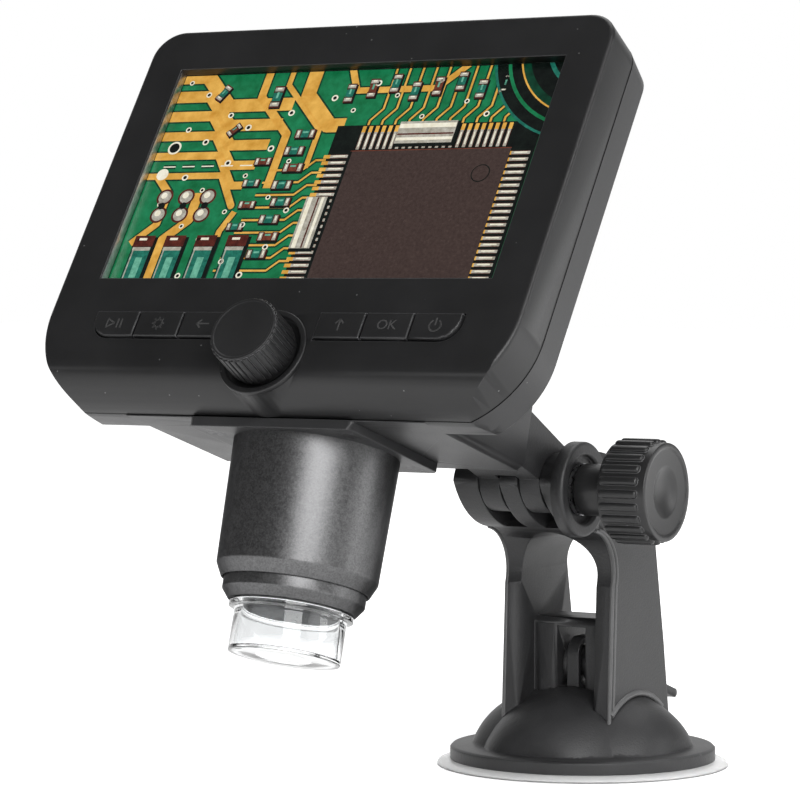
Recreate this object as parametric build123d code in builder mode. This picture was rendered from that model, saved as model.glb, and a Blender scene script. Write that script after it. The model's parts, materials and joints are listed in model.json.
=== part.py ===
from build123d import *
import math
import os

os.makedirs("parts", exist_ok=True)

# The origin is the centre of the suction cup on the table. +X is the user's right, +Y points to
# the back and +Z up. The screen faces the user, towards -Y. All sizes are millimetres.

# ---------------------------------------------------------------- driving dimensions
wall = 2.2                      # shell walls of the head
gap = 0.3                       # air between pieces that move past each other
slip = 0.05                     # radial running clearance of shafts and guides

# tilt pivot between the head and the stand
pivot_y = -25.9
pivot_z = 62.0
head_shift = -30.0              # the barrel axis lies this far to the left of the stand
arm_reach = 36.0                # from the barrel axis back to the pivot
head_tilt = 16.7                # barrel leaning back from vertical at rest
face_lean = 16.8                # screen face leaning back from the barrel

# screen module: the window shows the panel, which lies in a sheet frame
window_width = 96.5
window_height = 55.0
panel_width = window_width + 4.5
panel_height = window_height + 7.0
panel_depth = 1.4
frame_rail_side = 2.2
frame_rail_top = 2.5
module_width = panel_width + 2 * frame_rail_side
module_height = panel_height + 2 * frame_rail_top
module_depth = 3.0
frame_sheet = 0.35
standoff_height = 1.8
frame_lug_span = 36.0
frame_lug_width = 5.0
board_thickness = 1.2

# rows below the screen, down the face from the window's centre
key_room = 5.8
key_row_v = -module_height / 2 - key_room
knob_v = key_row_v - 6.2

# slab that holds the screen: x across, v up the screen face, depth behind the face
side_room = 3.0                 # air between the screen module and the side walls
top_room = 2.5
slab_half_width = module_width / 2 + side_room + wall
slab_top = module_height / 2 + top_room + wall
slab_bottom = knob_v - 12.7
slab_top_radius = 7.0
slab_bottom_radius = 22.0
slab_depth = 18.5
slab_rear_draft = 7.0
parting_depth = 10.3
face_edge = 1.0                 # round between the screen face and its sides
toe_radius = 9.8                # round between the screen face and the underside
knob_back = -25.65              # focus knob's centre on the face, seen from the barrel axis
knob_up = 12.34
face_back = knob_back - knob_v * math.sin(math.radians(face_lean))
face_up = knob_up - knob_v * math.cos(math.radians(face_lean))

# keys, three on each side of the knob
key_names = ["key_play", "key_menu", "key_left", "key_up", "key_ok", "key_power"]
key_pitch = 11.3
key_inner_x = 16.7
key_height = 6.1
key_proud = 0.8
key_travel = 0.5
key_corner = 4.4
key_stem_radius = 1.2
key_lip = 0.7                   # how far a key's flange reaches over its opening
key_flange = 0.6
switch_side = 4.0
switch_height = 1.5
switch_button = 0.3

# focus drive
knob_radius = 7.7
knob_rib_height = 0.4
knob_ribs = 32
knob_proud = 8.7
knob_sunk = 1.2
boss_radius = 10.0
boss_depth = 9.2
boss_groove = 1.0
boss_recess = 1.6
shaft_radius = 2.0
shaft_end = 17.6
clip_height = 1.6
bushing_radius = 4.2
bushing_end = 7.0
tooth_module = 0.5
pinion_teeth = 12
tooth_reach = 0.35              # tooth height above and, with the gap, below the pitch line
tooth_root_width = 0.72
tooth_tip_width = 0.36
pinion_front = 13.0
pinion_width = 4.0
rack_body = 1.9
focus_travel = 3.4

# block under and behind the slab, which carries the barrel and the arm
block_half_width = 38.0
block_back = 20.5
block_height = 33.0
block_top_back = 8.2
block_top_height = 60.0
block_edge = 1.5

# lens barrel and what hangs on it
plate_half_width = 20.0
plate_front = -19.5
plate_back = 16.9
plate_thickness = 2.0
plate_corner = 1.2
barrel_radius = 17.6
barrel_low_radius = 17.0
barrel_step = 28.3
barrel_bottom = 31.2
barrel_bottom_radius = 15.6
barrel_wall = 1.8
tube_radius = 7.0
tube_bore = 5.2
tube_bottom = 24.0
tube_top = 14.0
sleeve_wall = 1.6
sleeve_top = 8.0
sleeve_bottom = 25.0
floor_hole = 8.0
ring_radius = 15.0
ring_step = 33.5
ring_bottom = 35.6
ring_low_radius = 13.4
ring_spigot = 2.6
cap_radius = 11.8
cap_flange_radius = 13.1
cap_flange = 1.1
cap_bottom = 46.2
cap_wall = 1.3
cap_hole = 5.9
cap_spigot = 3.0
lamp_count = 8
lamp_ring_radius = 10.2
lamp_radius = 1.2
lamp_height = 1.2

# inner parts of the head
battery_size = (34.0, 50.0, 5.0)
battery_centre = (24.9 - slab_half_width, slab_top - 31.2)
board_left = 2.9 - slab_half_width
board_right = slab_half_width - 7.9
board_low = 3.5 - module_height / 2
board_high = module_height / 2 - 2.5
key_board_height = 8.0
# chips on the main board: place, width, height and thickness
main_chips = [
    ((14.0, 10.0), 14.0, 14.0, 1.4),
    ((-4.0, 12.0), 10.0, 8.0, 1.1),
    ((32.0, 12.0), 6.0, 5.0, 1.6),
    ((30.0, -12.0), 9.0, 9.0, 2.2),
]
sensor_board_side = 22.0
sensor_height = 23.0
sensor_side = 8.0
sensor_thickness = 1.6
post_radius = 1.8
post_offset = 9.3
usb_size = (7.4, 7.6, 2.6)
usb_v = 6.0
card_size = (14.6, 13.6, 1.8)
card_v = -10.0
dimmer_v = -24.0
dimmer_radius = 5.0
dimmer_width = 2.4
dimmer_proud = 1.2
dimmer_depth = 11.0
dimmer_ribs = 24
dimmer_rib = 0.4
dimmer_shaft_radius = 1.0

# screws
screw_radius = 1.1
screw_head_radius = 2.1
screw_head = 1.4
screw_post_radius = 2.5
board_ledge = 0.8
screw_recess = 1.8
screw_bite = 3.6                # screw length left of the parting plane
upper_screw = (slab_half_width - 4.4, 25.0)
lower_screw = (slab_half_width - 8.4, key_row_v - 2.2)
plate_screw_x = 16.5
plate_screw_front = -13.3
plate_screw_back = 13.0
plate_screw_bite = 4.5

# arm on the back of the block and the clamp through it
arm_root_low = 1.1
arm_root_high = 13.3
arm_end_radius = 7.5
arm_end_lift = 2.3
arm_bridge_gap = 9.0
arm_screw_offset = 3.2
arm_screw_up = 7.2
prong_inner = 2.5
prong_outer = 7.3
lug_gap = 0.4
lug_outer = 13.3
lug_radius = 7.6
slot_radius = 10.4
slot_top = 66.0
bolt_radius = 2.5
bolt_head_radius = 4.2
bolt_head = 3.5
ear_radius = 10.1
ear_face = 14.7
ear_thickness = 2.9
ear_recess_radius = 7.25
ear_recess = 1.5
ear_edge = 0.7
washer_thickness = 0.8
washer_radius = 5.5
neck_radius = 5.5
knob_inner_face = 22.9
knob_outer_face = 33.9
thumb_radius = 11.1
thumb_ribs = 24
thumb_rib = 0.55
thumb_rib_width = 1.5
thumb_edge = 1.0
thumb_dish = 5.0
thumb_dish_depth = 0.9
nut_across_flats = 8.0
nut_thickness = 4.0

# stand
leg_inner = 9.3
leg_front_low = -12.5
leg_back_low = 16.2
leg_foot = 5.0
window_arch_top = 51.8
bar_front = -5.0
bar_back = 8.0
bar_top = 32.5
bar_bottom = 13.0
bar_slot = 3.4
bar_pin_half = 8.0
bar_slot_top = 30.4
bar_slot_floor = 14.2
bar_panel_width = 4.2
bar_panel_proud = 0.7

# base
cup_radius = 32.0
cup_thickness = 1.3
cup_hole = 6.3
cup_ring = 3.5
cup_hollow = 0.5
rim_radius = 29.1
rim_top = 4.2
dome_long = 24.0
dome_short = 19.5
dome_height = 13.5
foot_radius = 6.0
foot_low = 1.9
foot_thickness = 1.1
stem_radius = 2.0
stem_travel = 1.25

# locking lever
lever_y = 1.0
lever_z = 22.0
lever_pin_radius = 1.2
lever_half_width = 3.1
cam_half_width = 1.7
loop_half_width = 1.4
loop_round = 4.0                # outer round of the stem's loop, clear of the swinging tail
window_round = 1.8
cam_radius = 4.0
lever_swing = 50.0
lever_hub_radius = 4.4
lever_tail_y = 39.5
lever_tail_z = 10.8
lever_thickness = 2.0

# ---------------------------------------------------------------- frames
tilt = math.radians(head_tilt)
lean = math.radians(face_lean)
barrel_back = Vector(0, math.cos(tilt), -math.sin(tilt))
barrel_up = Vector(0, math.sin(tilt), math.cos(tilt))
pivot = Vector(0, pivot_y, pivot_z)
head_origin = pivot - barrel_back * arm_reach + Vector(head_shift, 0, 0)
arm_x = -head_shift
barrel_axis = Axis(head_origin, barrel_up)


def head_point(x, back, up):
    """Point given from the barrel axis at the underside of the block."""
    return head_origin + Vector(x, 0, 0) + barrel_back * back + barrel_up * up


def head_level(up, x=0.0, back=0.0):
    """Plane square to the barrel at a height above the underside, facing up the barrel."""
    return Plane(origin=head_point(x, back, up), x_dir=(1, 0, 0), z_dir=barrel_up)


def head_side(x=0.0):
    """Plane across the head at x: its own x runs back and its own y up the barrel."""
    return Plane(origin=head_point(x, 0, 0), x_dir=barrel_back, z_dir=(1, 0, 0))


def head_rear(back):
    """Plane facing back, square to the barrel's side view."""
    return Plane(origin=head_point(0, back, 0), x_dir=(-1, 0, 0), z_dir=barrel_back)


def leaning(v, depth):
    """Side-view place (back, up) of a point on the screen face's own grid."""
    back = face_back + v * math.sin(lean) + depth * math.cos(lean)
    up = face_up + v * math.cos(lean) - depth * math.sin(lean)
    return back, up


def screen(depth=0.0):
    """Plane parallel to the screen face at a depth behind it, facing the user."""
    back, up = leaning(0, depth)
    facing = barrel_up * math.sin(lean) - barrel_back * math.cos(lean)
    return Plane(origin=head_point(0, back, up), x_dir=(1, 0, 0), z_dir=facing)


def stand_side(x=0.0):
    """Plane across the stand at x: its own x runs back and its own y up."""
    return Plane(origin=(x, 0, 0), x_dir=(0, 1, 0), z_dir=(1, 0, 0))


def pivot_side(x=0.0):
    """Plane across the stand at x, centred on the tilt pivot."""
    return Plane(origin=(x, pivot_y, pivot_z), x_dir=(0, 1, 0), z_dir=(1, 0, 0))


def toe_v(depth, up):
    """Height v on the screen grid where a depth meets a level above the underside."""
    return (up - face_up + depth * math.sin(lean)) / math.cos(lean)


def slab_outline(depth, inset=0.0):
    """Front outline of the slab, drawn at a depth behind the face."""
    with BuildSketch(screen(depth)) as outline:
        with Locations((0, (slab_top + slab_bottom) / 2)):
            Rectangle(2 * (slab_half_width - inset), slab_top - slab_bottom - 2 * inset)
        fillet(outline.vertices().group_by(Axis.Y)[-1], slab_top_radius - inset)
        fillet(outline.vertices().group_by(Axis.Y)[0], slab_bottom_radius - inset)
    return outline.sketch


def toe_section(inset=0.0):
    """Side view of the space above the underside and behind the face, with its rounded toe."""
    corner = leaning(toe_v(inset, inset), inset)
    top = leaning(slab_top + 10, inset)
    with BuildSketch(head_side()) as section:
        with BuildLine():
            Polyline(top, corner, (60, inset), (60, top[1]), close=True)
        make_face()
        toe = section.vertices().sort_by_distance((corner[0], corner[1], 0))[0]
        fillet(toe, toe_radius - inset)
    return section.sketch


def disc_row(plane, places, radius):
    """Discs at the given places of a plane."""
    with BuildSketch(plane) as discs:
        with Locations(*places):
            Circle(radius)
    return discs.sketch


def tube_profile(points):
    """Closed profile (radius, height) beside the barrel axis, ready to revolve."""
    with BuildSketch(head_side()) as profile:
        with BuildLine():
            Polyline(*points, close=True)
        make_face()
    return profile.sketch


key_width = key_pitch - gap
upper_screws = [(side * upper_screw[0], upper_screw[1]) for side in (-1, 1)]
lower_screws = [(side * lower_screw[0], lower_screw[1]) for side in (-1, 1)]
board_depth = wall + module_depth + standoff_height
board_rear = board_depth + board_thickness


def key_window(side):
    """Opening for three keys, with the rounded outer corner below."""
    length = 3 * key_width + 4 * gap
    with BuildSketch(screen()) as opening:
        with Locations((side * (key_inner_x + key_pitch), key_row_v)):
            Rectangle(length, key_height + 2 * gap)
        low = opening.vertices().group_by(Axis.Y)[0].sort_by(Axis.X)
        fillet(low[-1] if side > 0 else low[0], key_corner + gap)
    return opening.sketch


# ---------------------------------------------------------------- openings in the left side wall
wheel_x = -slab_half_width - dimmer_proud + dimmer_radius


def left_socket(size, v, start):
    """Outline of a socket on the rear of the main board, from start towards the right."""
    with BuildSketch(screen(board_rear)) as outline:
        with Locations((start, v)):
            Rectangle(size[0], size[1], align=(Align.MIN, Align.CENTER))
    return outline.sketch


with BuildPart() as left_ports:
    for size, v in ((usb_size, usb_v), (card_size, card_v)):
        extrude(left_socket(size, v, -slab_half_width - wall), amount=-size[2])
    extrude(
        disc_row(screen(dimmer_depth - gap), [(wheel_x, dimmer_v)], dimmer_radius + gap),
        amount=-dimmer_width - 2 * gap,
    )

# ---------------------------------------------------------------- front shell
with BuildPart() as front_cavity:
    extrude(slab_outline(wall, wall), amount=-parting_depth)
    extrude(toe_section(wall), amount=slab_half_width, both=True, mode=Mode.INTERSECT)

with BuildPart() as front_shell:
    extrude(slab_outline(0), amount=-parting_depth)
    face_edges = front_shell.faces().sort_by(Axis(screen().origin, screen().z_dir))[-1].edges()
    fillet(face_edges, face_edge)
    extrude(toe_section(), amount=slab_half_width, both=True, mode=Mode.INTERSECT)
    extrude(disc_row(screen(), [(0, knob_v)], boss_radius), amount=-boss_depth)
    add(front_cavity.part, mode=Mode.SUBTRACT)
    with BuildSketch(screen()) as window:
        Rectangle(window_width, window_height)
    extrude(amount=-wall, mode=Mode.SUBTRACT)
    for side in (-1, 1):
        extrude(key_window(side), amount=-wall, mode=Mode.SUBTRACT)
    extrude(disc_row(screen(wall), [(0, knob_v)], bushing_radius), amount=wall - bushing_end)
    extrude(
        disc_row(screen(), [(0, knob_v)], knob_radius + boss_groove),
        amount=-boss_recess,
        mode=Mode.SUBTRACT,
    )
    extrude(
        disc_row(screen(), [(0, knob_v)], shaft_radius + slip),
        amount=-bushing_end,
        mode=Mode.SUBTRACT,
    )
    extrude(
        disc_row(screen(wall), lower_screws, screw_post_radius + board_ledge),
        amount=-module_depth - standoff_height,
    )
    extrude(disc_row(screen(wall), lower_screws, screw_post_radius), amount=wall - parting_depth)
    extrude(
        disc_row(screen(wall + module_depth + gap), upper_screws, screw_post_radius),
        amount=wall + module_depth + gap - parting_depth,
    )
    extrude(
        disc_row(screen(parting_depth - screw_bite), upper_screws + lower_screws, screw_radius),
        amount=-screw_bite,
        mode=Mode.SUBTRACT,
    )
    add(left_ports.part, mode=Mode.SUBTRACT)
front_shell.part.label = "front_shell"

# ---------------------------------------------------------------- rear shell with its block
def block_section(inset=0.0):
    """Side view of the block: flat underside, upright back and a slope up to the slab."""
    foot = leaning(toe_v(parting_depth, inset), parting_depth)
    with BuildSketch(head_side()) as section:
        with BuildLine():
            Polyline(
                foot,
                (block_back - inset, inset),
                (block_back - inset, block_height - inset / 2),
                (block_top_back - inset / 2, block_top_height - inset),
                leaning(toe_v(parting_depth, block_top_height - inset), parting_depth),
                close=True,
            )
        make_face()
    return section.sketch


with BuildPart() as slab_rear:
    extrude(slab_outline(parting_depth), amount=parting_depth - slab_depth, taper=slab_rear_draft)
    extrude(toe_section(), amount=slab_half_width, both=True, mode=Mode.INTERSECT)

with BuildPart() as slab_rear_cavity:
    extrude(
        slab_outline(parting_depth, wall),
        amount=parting_depth - slab_depth + wall,
        taper=slab_rear_draft,
    )
    extrude(toe_section(wall), amount=slab_half_width, both=True, mode=Mode.INTERSECT)

with BuildPart() as block_cavity:
    extrude(block_section(wall), amount=block_half_width - wall, both=True)

plate_rows = (plate_screw_front, plate_screw_back)
plate_screws = [(side * plate_screw_x, back) for side in (-1, 1) for back in plate_rows]
arm_screws = [(-arm_x - arm_screw_offset, arm_screw_up), (-arm_x + arm_screw_offset, arm_screw_up)]
posts = [(x, back) for x in (-post_offset, post_offset) for back in (-post_offset, post_offset)]
back_axis = Axis(head_origin, barrel_back)
rack_x = tooth_module * pinion_teeth / 2
rack_pitch = math.pi * tooth_module
rack_half_length = focus_travel * math.cos(lean) + rack_pitch / 2


with BuildPart() as rear_shell:
    extrude(block_section(), amount=block_half_width, both=True)
    low_sides = rear_shell.edges().filter_by(back_axis).sort_by(Axis.Z)[0:2]
    chamfer(low_sides, block_edge)
    add(slab_rear.part)
    add(slab_rear_cavity.part, mode=Mode.SUBTRACT)
    add(block_cavity.part, mode=Mode.SUBTRACT)
    # screw posts, from the parting plane back
    extrude(
        disc_row(screen(parting_depth), upper_screws + lower_screws, screw_post_radius),
        amount=parting_depth - slab_depth + wall / 2,
    )
    extrude(
        disc_row(screen(parting_depth), upper_screws + lower_screws, screw_radius + slip),
        amount=parting_depth - slab_depth,
        mode=Mode.SUBTRACT,
    )
    extrude(
        disc_row(screen(slab_depth), upper_screws + lower_screws, screw_head_radius + slip),
        amount=screw_recess,
        mode=Mode.SUBTRACT,
    )
    # floor: posts for the sensor board, bosses for the plate screws, hole for the lens tube
    extrude(disc_row(head_level(0), posts, post_radius), amount=sensor_height)
    extrude(disc_row(head_level(0), plate_screws, screw_post_radius), amount=3 * wall)
    extrude(
        disc_row(head_level(0), plate_screws, screw_radius),
        amount=plate_screw_bite + 0.5,
        mode=Mode.SUBTRACT,
    )
    extrude(disc_row(head_level(0), [(0, 0)], floor_hole), amount=wall, mode=Mode.SUBTRACT)
    with BuildSketch(head_level(0)) as rack_way:
        with Locations((rack_x + 1.4, -floor_hole)):
            Rectangle(rack_body + 3.2, 2 * floor_hole + 0.6)
    extrude(amount=wall, mode=Mode.SUBTRACT)
    # holes for the arm's screws
    extrude(disc_row(head_rear(block_back), arm_screws, screw_radius), amount=-wall, mode=Mode.SUBTRACT)
    add(left_ports.part, mode=Mode.SUBTRACT)
rear_shell.part.label = "rear_shell"

# ---------------------------------------------------------------- screen module
with BuildPart() as screen_frame:
    with BuildSketch(screen(wall)) as module_outline:
        Rectangle(module_width, module_height)
    extrude(amount=-module_depth)
    with BuildSketch(screen(wall + frame_sheet)) as tray:
        Rectangle(panel_width, panel_height)
    extrude(amount=frame_sheet - module_depth, mode=Mode.SUBTRACT)
    with BuildSketch(screen(wall)) as sight:
        Rectangle(window_width + 2 * gap, window_height + 2 * gap)
    extrude(amount=-frame_sheet, mode=Mode.SUBTRACT)
    with BuildSketch(screen(wall + module_depth)) as lugs:
        with GridLocations(module_width - frame_rail_side, frame_lug_span, 2, 2):
            Rectangle(frame_rail_side, frame_lug_width)
    extrude(amount=-standoff_height)
screen_frame.part.label = "screen_frame"

with BuildPart() as screen_panel:
    with BuildSketch(screen(wall + frame_sheet)) as panel_outline:
        Rectangle(panel_width, panel_height)
    extrude(amount=-panel_depth)
screen_panel.part.label = "screen_panel"

with BuildPart() as backlight:
    with BuildSketch(screen(wall + frame_sheet + panel_depth)) as light_outline:
        Rectangle(panel_width, panel_height)
    extrude(amount=frame_sheet + panel_depth - module_depth)
backlight.part.label = "backlight"

# ---------------------------------------------------------------- boards, battery and sockets
board_width = board_right - board_left
with BuildPart() as main_board:
    with BuildSketch(screen(board_depth)) as board_outline:
        with Locations(((board_left + board_right) / 2, (board_low + board_high) / 2)):
            Rectangle(board_width, board_high - board_low)
        with Locations(*upper_screws):
            Circle(screw_post_radius + 2 * gap, mode=Mode.SUBTRACT)
    extrude(amount=-board_thickness)
main_board.part.label = "main_board"

with BuildPart() as board_chips:
    for place, width, height, thickness in main_chips:
        with BuildSketch(screen(board_rear)) as chip:
            with Locations(place):
                Rectangle(width, height)
        extrude(amount=-thickness)
board_chips.part.label = "board_chips"

with BuildPart() as key_board:
    with BuildSketch(screen(board_depth)) as strip:
        with Locations((0, key_row_v)):
            Rectangle(2 * lower_screw[0], key_board_height)
        with Locations(*lower_screws):
            Circle(screw_post_radius + 1.7)
            Circle(screw_post_radius + slip, mode=Mode.SUBTRACT)
        with Locations((0, knob_v)):
            Circle(shaft_radius + clip_height + gap, mode=Mode.SUBTRACT)
    extrude(amount=-board_thickness)
key_board.part.label = "key_board"

key_places = [side * (key_inner_x + key_pitch * step) for side in (-1, 1) for step in range(3)]
key_places.sort()
with BuildPart() as key_switches:
    for x in key_places:
        with BuildSketch(screen(board_depth - switch_height)) as switch_case:
            with Locations((x, key_row_v)):
                Rectangle(switch_side, switch_side)
        extrude(amount=-switch_height)
        extrude(
            disc_row(screen(board_depth - switch_height), [(x, key_row_v)], key_stem_radius),
            amount=switch_button,
        )
key_switches.part.label = "key_switches"

with BuildPart() as battery_cell:
    with BuildSketch(screen(slab_depth - wall)) as pouch:
        with Locations(battery_centre):
            RectangleRounded(battery_size[0], battery_size[1], 2.0)
    extrude(amount=battery_size[2])
battery_cell.part.label = "battery_cell"

with BuildPart() as usb_socket:
    extrude(left_socket(usb_size, usb_v, -slab_half_width + 0.6), amount=-usb_size[2])
    with BuildSketch(screen(board_rear + 0.4)) as usb_mouth:
        with Locations((-slab_half_width + 0.6, usb_v)):
            Rectangle(usb_size[0] - 1.5, usb_size[1] - 0.8, align=(Align.MIN, Align.CENTER))
    extrude(amount=0.8 - usb_size[2], mode=Mode.SUBTRACT)
    with BuildSketch(screen(board_rear + 1.0)) as usb_tongue:
        with Locations((-slab_half_width + 1.6, usb_v)):
            Rectangle(usb_size[0] - 2.0, usb_size[1] - 2.6, align=(Align.MIN, Align.CENTER))
    extrude(amount=-0.6)
usb_socket.part.label = "usb_socket"

with BuildPart() as card_socket:
    extrude(left_socket(card_size, card_v, -slab_half_width + 0.6), amount=-card_size[2])
    with BuildSketch(screen(board_rear + 0.4)) as card_mouth:
        with Locations((-slab_half_width + 0.6, card_v)):
            Rectangle(card_size[0] - 1.5, card_size[1] - 1.6, align=(Align.MIN, Align.CENTER))
    extrude(amount=0.8 - card_size[2], mode=Mode.SUBTRACT)
card_socket.part.label = "card_socket"

with BuildPart() as dimmer_pot:
    with BuildSketch(screen(board_rear)) as pot_case:
        with Locations((wheel_x + 1.4, dimmer_v)):
            Rectangle(4.6, 6.0)
    extrude(amount=board_rear - dimmer_depth + gap)
    extrude(
        disc_row(screen(board_rear), [(wheel_x, dimmer_v)], dimmer_shaft_radius),
        amount=board_rear - dimmer_depth - dimmer_width,
    )
dimmer_pot.part.label = "dimmer_pot"

with BuildPart() as dimmer_wheel:
    with BuildSketch(screen(dimmer_depth)) as wheel_outline:
        with Locations((wheel_x, dimmer_v)):
            Circle(dimmer_radius - dimmer_rib)
            with PolarLocations(dimmer_radius - 2 * dimmer_rib, dimmer_ribs):
                Rectangle(4 * dimmer_rib, dimmer_rib)
            Circle(dimmer_shaft_radius + slip, mode=Mode.SUBTRACT)
    extrude(amount=-dimmer_width)
dimmer_wheel.part.label = "dimmer_wheel"

with BuildPart() as sensor_board:
    with BuildSketch(head_level(sensor_height)) as square:
        Rectangle(sensor_board_side, sensor_board_side)
    extrude(amount=board_thickness)
sensor_board.part.label = "sensor_board"

with BuildPart() as image_sensor:
    with BuildSketch(head_level(sensor_height)) as package:
        Rectangle(sensor_side, sensor_side)
    extrude(amount=-sensor_thickness)
image_sensor.part.label = "image_sensor"

# ---------------------------------------------------------------- keys
keys = []
for name, x in zip(key_names, key_places):
    side = 1 if x > 0 else -1
    end_key = abs(x) > key_inner_x + 1.5 * key_pitch
    with BuildPart() as key:
        with BuildSketch(screen(-key_proud)) as face:
            with Locations((x, key_row_v)):
                Rectangle(key_width, key_height)
            if end_key:
                low = face.vertices().group_by(Axis.Y)[0].sort_by(Axis.X)
                fillet(low[-1] if side > 0 else low[0], key_corner)
        extrude(amount=-key_proud - wall - gap)
        rim = key.edges().group_by(Axis(screen(0).origin, screen(0).z_dir))[-1]
        chamfer(rim, 0.35)
        with BuildSketch(screen(wall + gap)) as flange:
            with Locations((x, key_row_v)):
                Rectangle(key_width, key_height + 2 * gap + 2 * key_lip)
        extrude(amount=-key_flange)
        stem = board_depth - switch_height - switch_button - gap - key_travel
        extrude(
            disc_row(screen(wall + gap), [(x, key_row_v)], key_stem_radius),
            amount=wall + gap - stem,
        )
    key.part.label = name
    keys.append(key)

# ---------------------------------------------------------------- focus drive
with BuildPart() as focus_knob:
    with BuildSketch(screen(-knob_proud)) as knob_outline:
        with Locations((0, knob_v)):
            Circle(knob_radius - knob_rib_height)
            with PolarLocations(knob_radius - knob_rib_height, knob_ribs):
                Rectangle(2 * knob_rib_height, 0.75)
    extrude(amount=-knob_proud - knob_sunk)
    extrude(
        disc_row(screen(knob_sunk), [(0, knob_v)], shaft_radius),
        amount=knob_sunk + knob_proud - 2.5,
        mode=Mode.SUBTRACT,
    )
    extrude(
        disc_row(screen(-knob_proud), [(0, knob_v)], knob_radius - 1.0),
        amount=-0.25,
        mode=Mode.SUBTRACT,
    )
focus_knob.part.label = "focus_knob"

with BuildPart() as focus_shaft:
    shaft_front = -knob_proud + 2.5
    extrude(
        disc_row(screen(shaft_front), [(0, knob_v)], shaft_radius),
        amount=shaft_front - shaft_end,
    )
focus_shaft.part.label = "focus_shaft"

pitch_radius = tooth_module * pinion_teeth / 2


def tooth(root, tip, root_width, tip_width):
    """Corners of one straight-sided tooth that stands along local x, from root to tip."""
    return [
        (root, -root_width / 2),
        (tip, -tip_width / 2),
        (tip, tip_width / 2),
        (root, root_width / 2),
    ]


root_depth = tooth_reach + gap
pinion_tooth = tooth(
    pitch_radius - root_depth - 0.3,
    pitch_radius + tooth_reach,
    tooth_root_width,
    tooth_tip_width,
)
with BuildPart() as focus_pinion:
    with BuildSketch(screen(pinion_front)) as pinion_outline:
        with Locations((0, knob_v)):
            Circle(pitch_radius - root_depth)
            with PolarLocations(0, pinion_teeth, start_angle=180 / pinion_teeth):
                Polygon(*pinion_tooth, align=None)
            Circle(shaft_radius, mode=Mode.SUBTRACT)
    extrude(amount=-pinion_width)
focus_pinion.part.label = "focus_pinion"

with BuildPart() as shaft_clip:
    with BuildSketch(screen(bushing_end + gap)) as clip_outline:
        with Locations((0, knob_v)):
            Circle(shaft_radius + clip_height)
            Circle(shaft_radius, mode=Mode.SUBTRACT)
    extrude(amount=-0.8)
shaft_clip.part.label = "shaft_clip"

# ---------------------------------------------------------------- lens tube with its rack
rack_root = pitch_radius + root_depth
rack_tooth = tooth(-0.2, root_depth + tooth_reach, tooth_root_width, tooth_tip_width)
with BuildPart() as lens_tube:
    revolve(
        tube_profile(
            [
                (tube_bore, -tube_bottom + 2.6),
                (tube_radius - 0.8, -tube_bottom + 2.6),
                (tube_radius - 0.8, -tube_bottom),
                (tube_radius, -tube_bottom),
                (tube_radius, tube_top),
                (tube_bore, tube_top),
            ]
        ),
        axis=barrel_axis,
    )
    rack_low = knob_v - rack_half_length
    rack_high = knob_v + rack_half_length
    with BuildSketch(head_side(rack_root)) as web:
        with BuildLine():
            Polyline(
                leaning(rack_low, pinion_front),
                leaning(rack_high, pinion_front),
                leaning(rack_high, pinion_front + pinion_width),
                (-tube_bore, leaning(rack_high, pinion_front + pinion_width)[1]),
                (-tube_bore, leaning(rack_low, pinion_front + pinion_width)[1]),
                leaning(rack_low, pinion_front + pinion_width),
                close=True,
            )
        make_face()
    extrude(amount=rack_body)
    with BuildSketch(screen(pinion_front)) as rack_teeth:
        for step in range(-3, 4):
            v = knob_v + step * rack_pitch
            if abs(v - knob_v) + tooth_root_width / 2 < rack_half_length:
                with Locations(Location((rack_root, v), 180)):
                    Polygon(*rack_tooth, align=None)
    extrude(amount=-pinion_width)
    extrude(disc_row(head_level(-tube_bottom), [(0, 0)], tube_bore), amount=40, mode=Mode.SUBTRACT)
lens_tube.part.label = "lens_tube"

with BuildPart() as objective_lens:
    seat = -tube_bottom + 2.6
    edge = tube_radius - 0.8
    with BuildSketch(head_side()) as lens_profile:
        with BuildLine():
            TangentArc((0, seat - 2.5), (edge, seat - 1.4), tangent=(1, 0))
            Polyline((edge, seat - 1.4), (edge, seat), (tube_bore, seat))
            TangentArc((0, seat + 0.9), (tube_bore, seat), tangent=(1, 0))
            Line((0, seat + 0.9), (0, seat - 2.5))
        make_face()
    revolve(axis=barrel_axis)
objective_lens.part.label = "objective_lens"

# ---------------------------------------------------------------- plate, barrel, ring and lamps
with BuildPart() as flange_plate:
    with BuildSketch(head_level(-plate_thickness)) as plate_outline:
        with Locations((0, (plate_front + plate_back) / 2)):
            Rectangle(2 * plate_half_width, plate_back - plate_front)
        chamfer(plate_outline.vertices(), plate_corner)
        Circle(floor_hole + barrel_wall + slip, mode=Mode.SUBTRACT)
    extrude(amount=plate_thickness)
    with BuildSketch(head_level(-plate_thickness)) as plate_sinks:
        with Locations(*plate_screws):
            Circle(screw_head_radius)
    extrude(amount=screw_head, taper=35, mode=Mode.SUBTRACT)
    extrude(
        disc_row(head_level(-plate_thickness), plate_screws, screw_radius),
        amount=plate_thickness,
        mode=Mode.SUBTRACT,
    )
flange_plate.part.label = "flange_plate"

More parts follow.
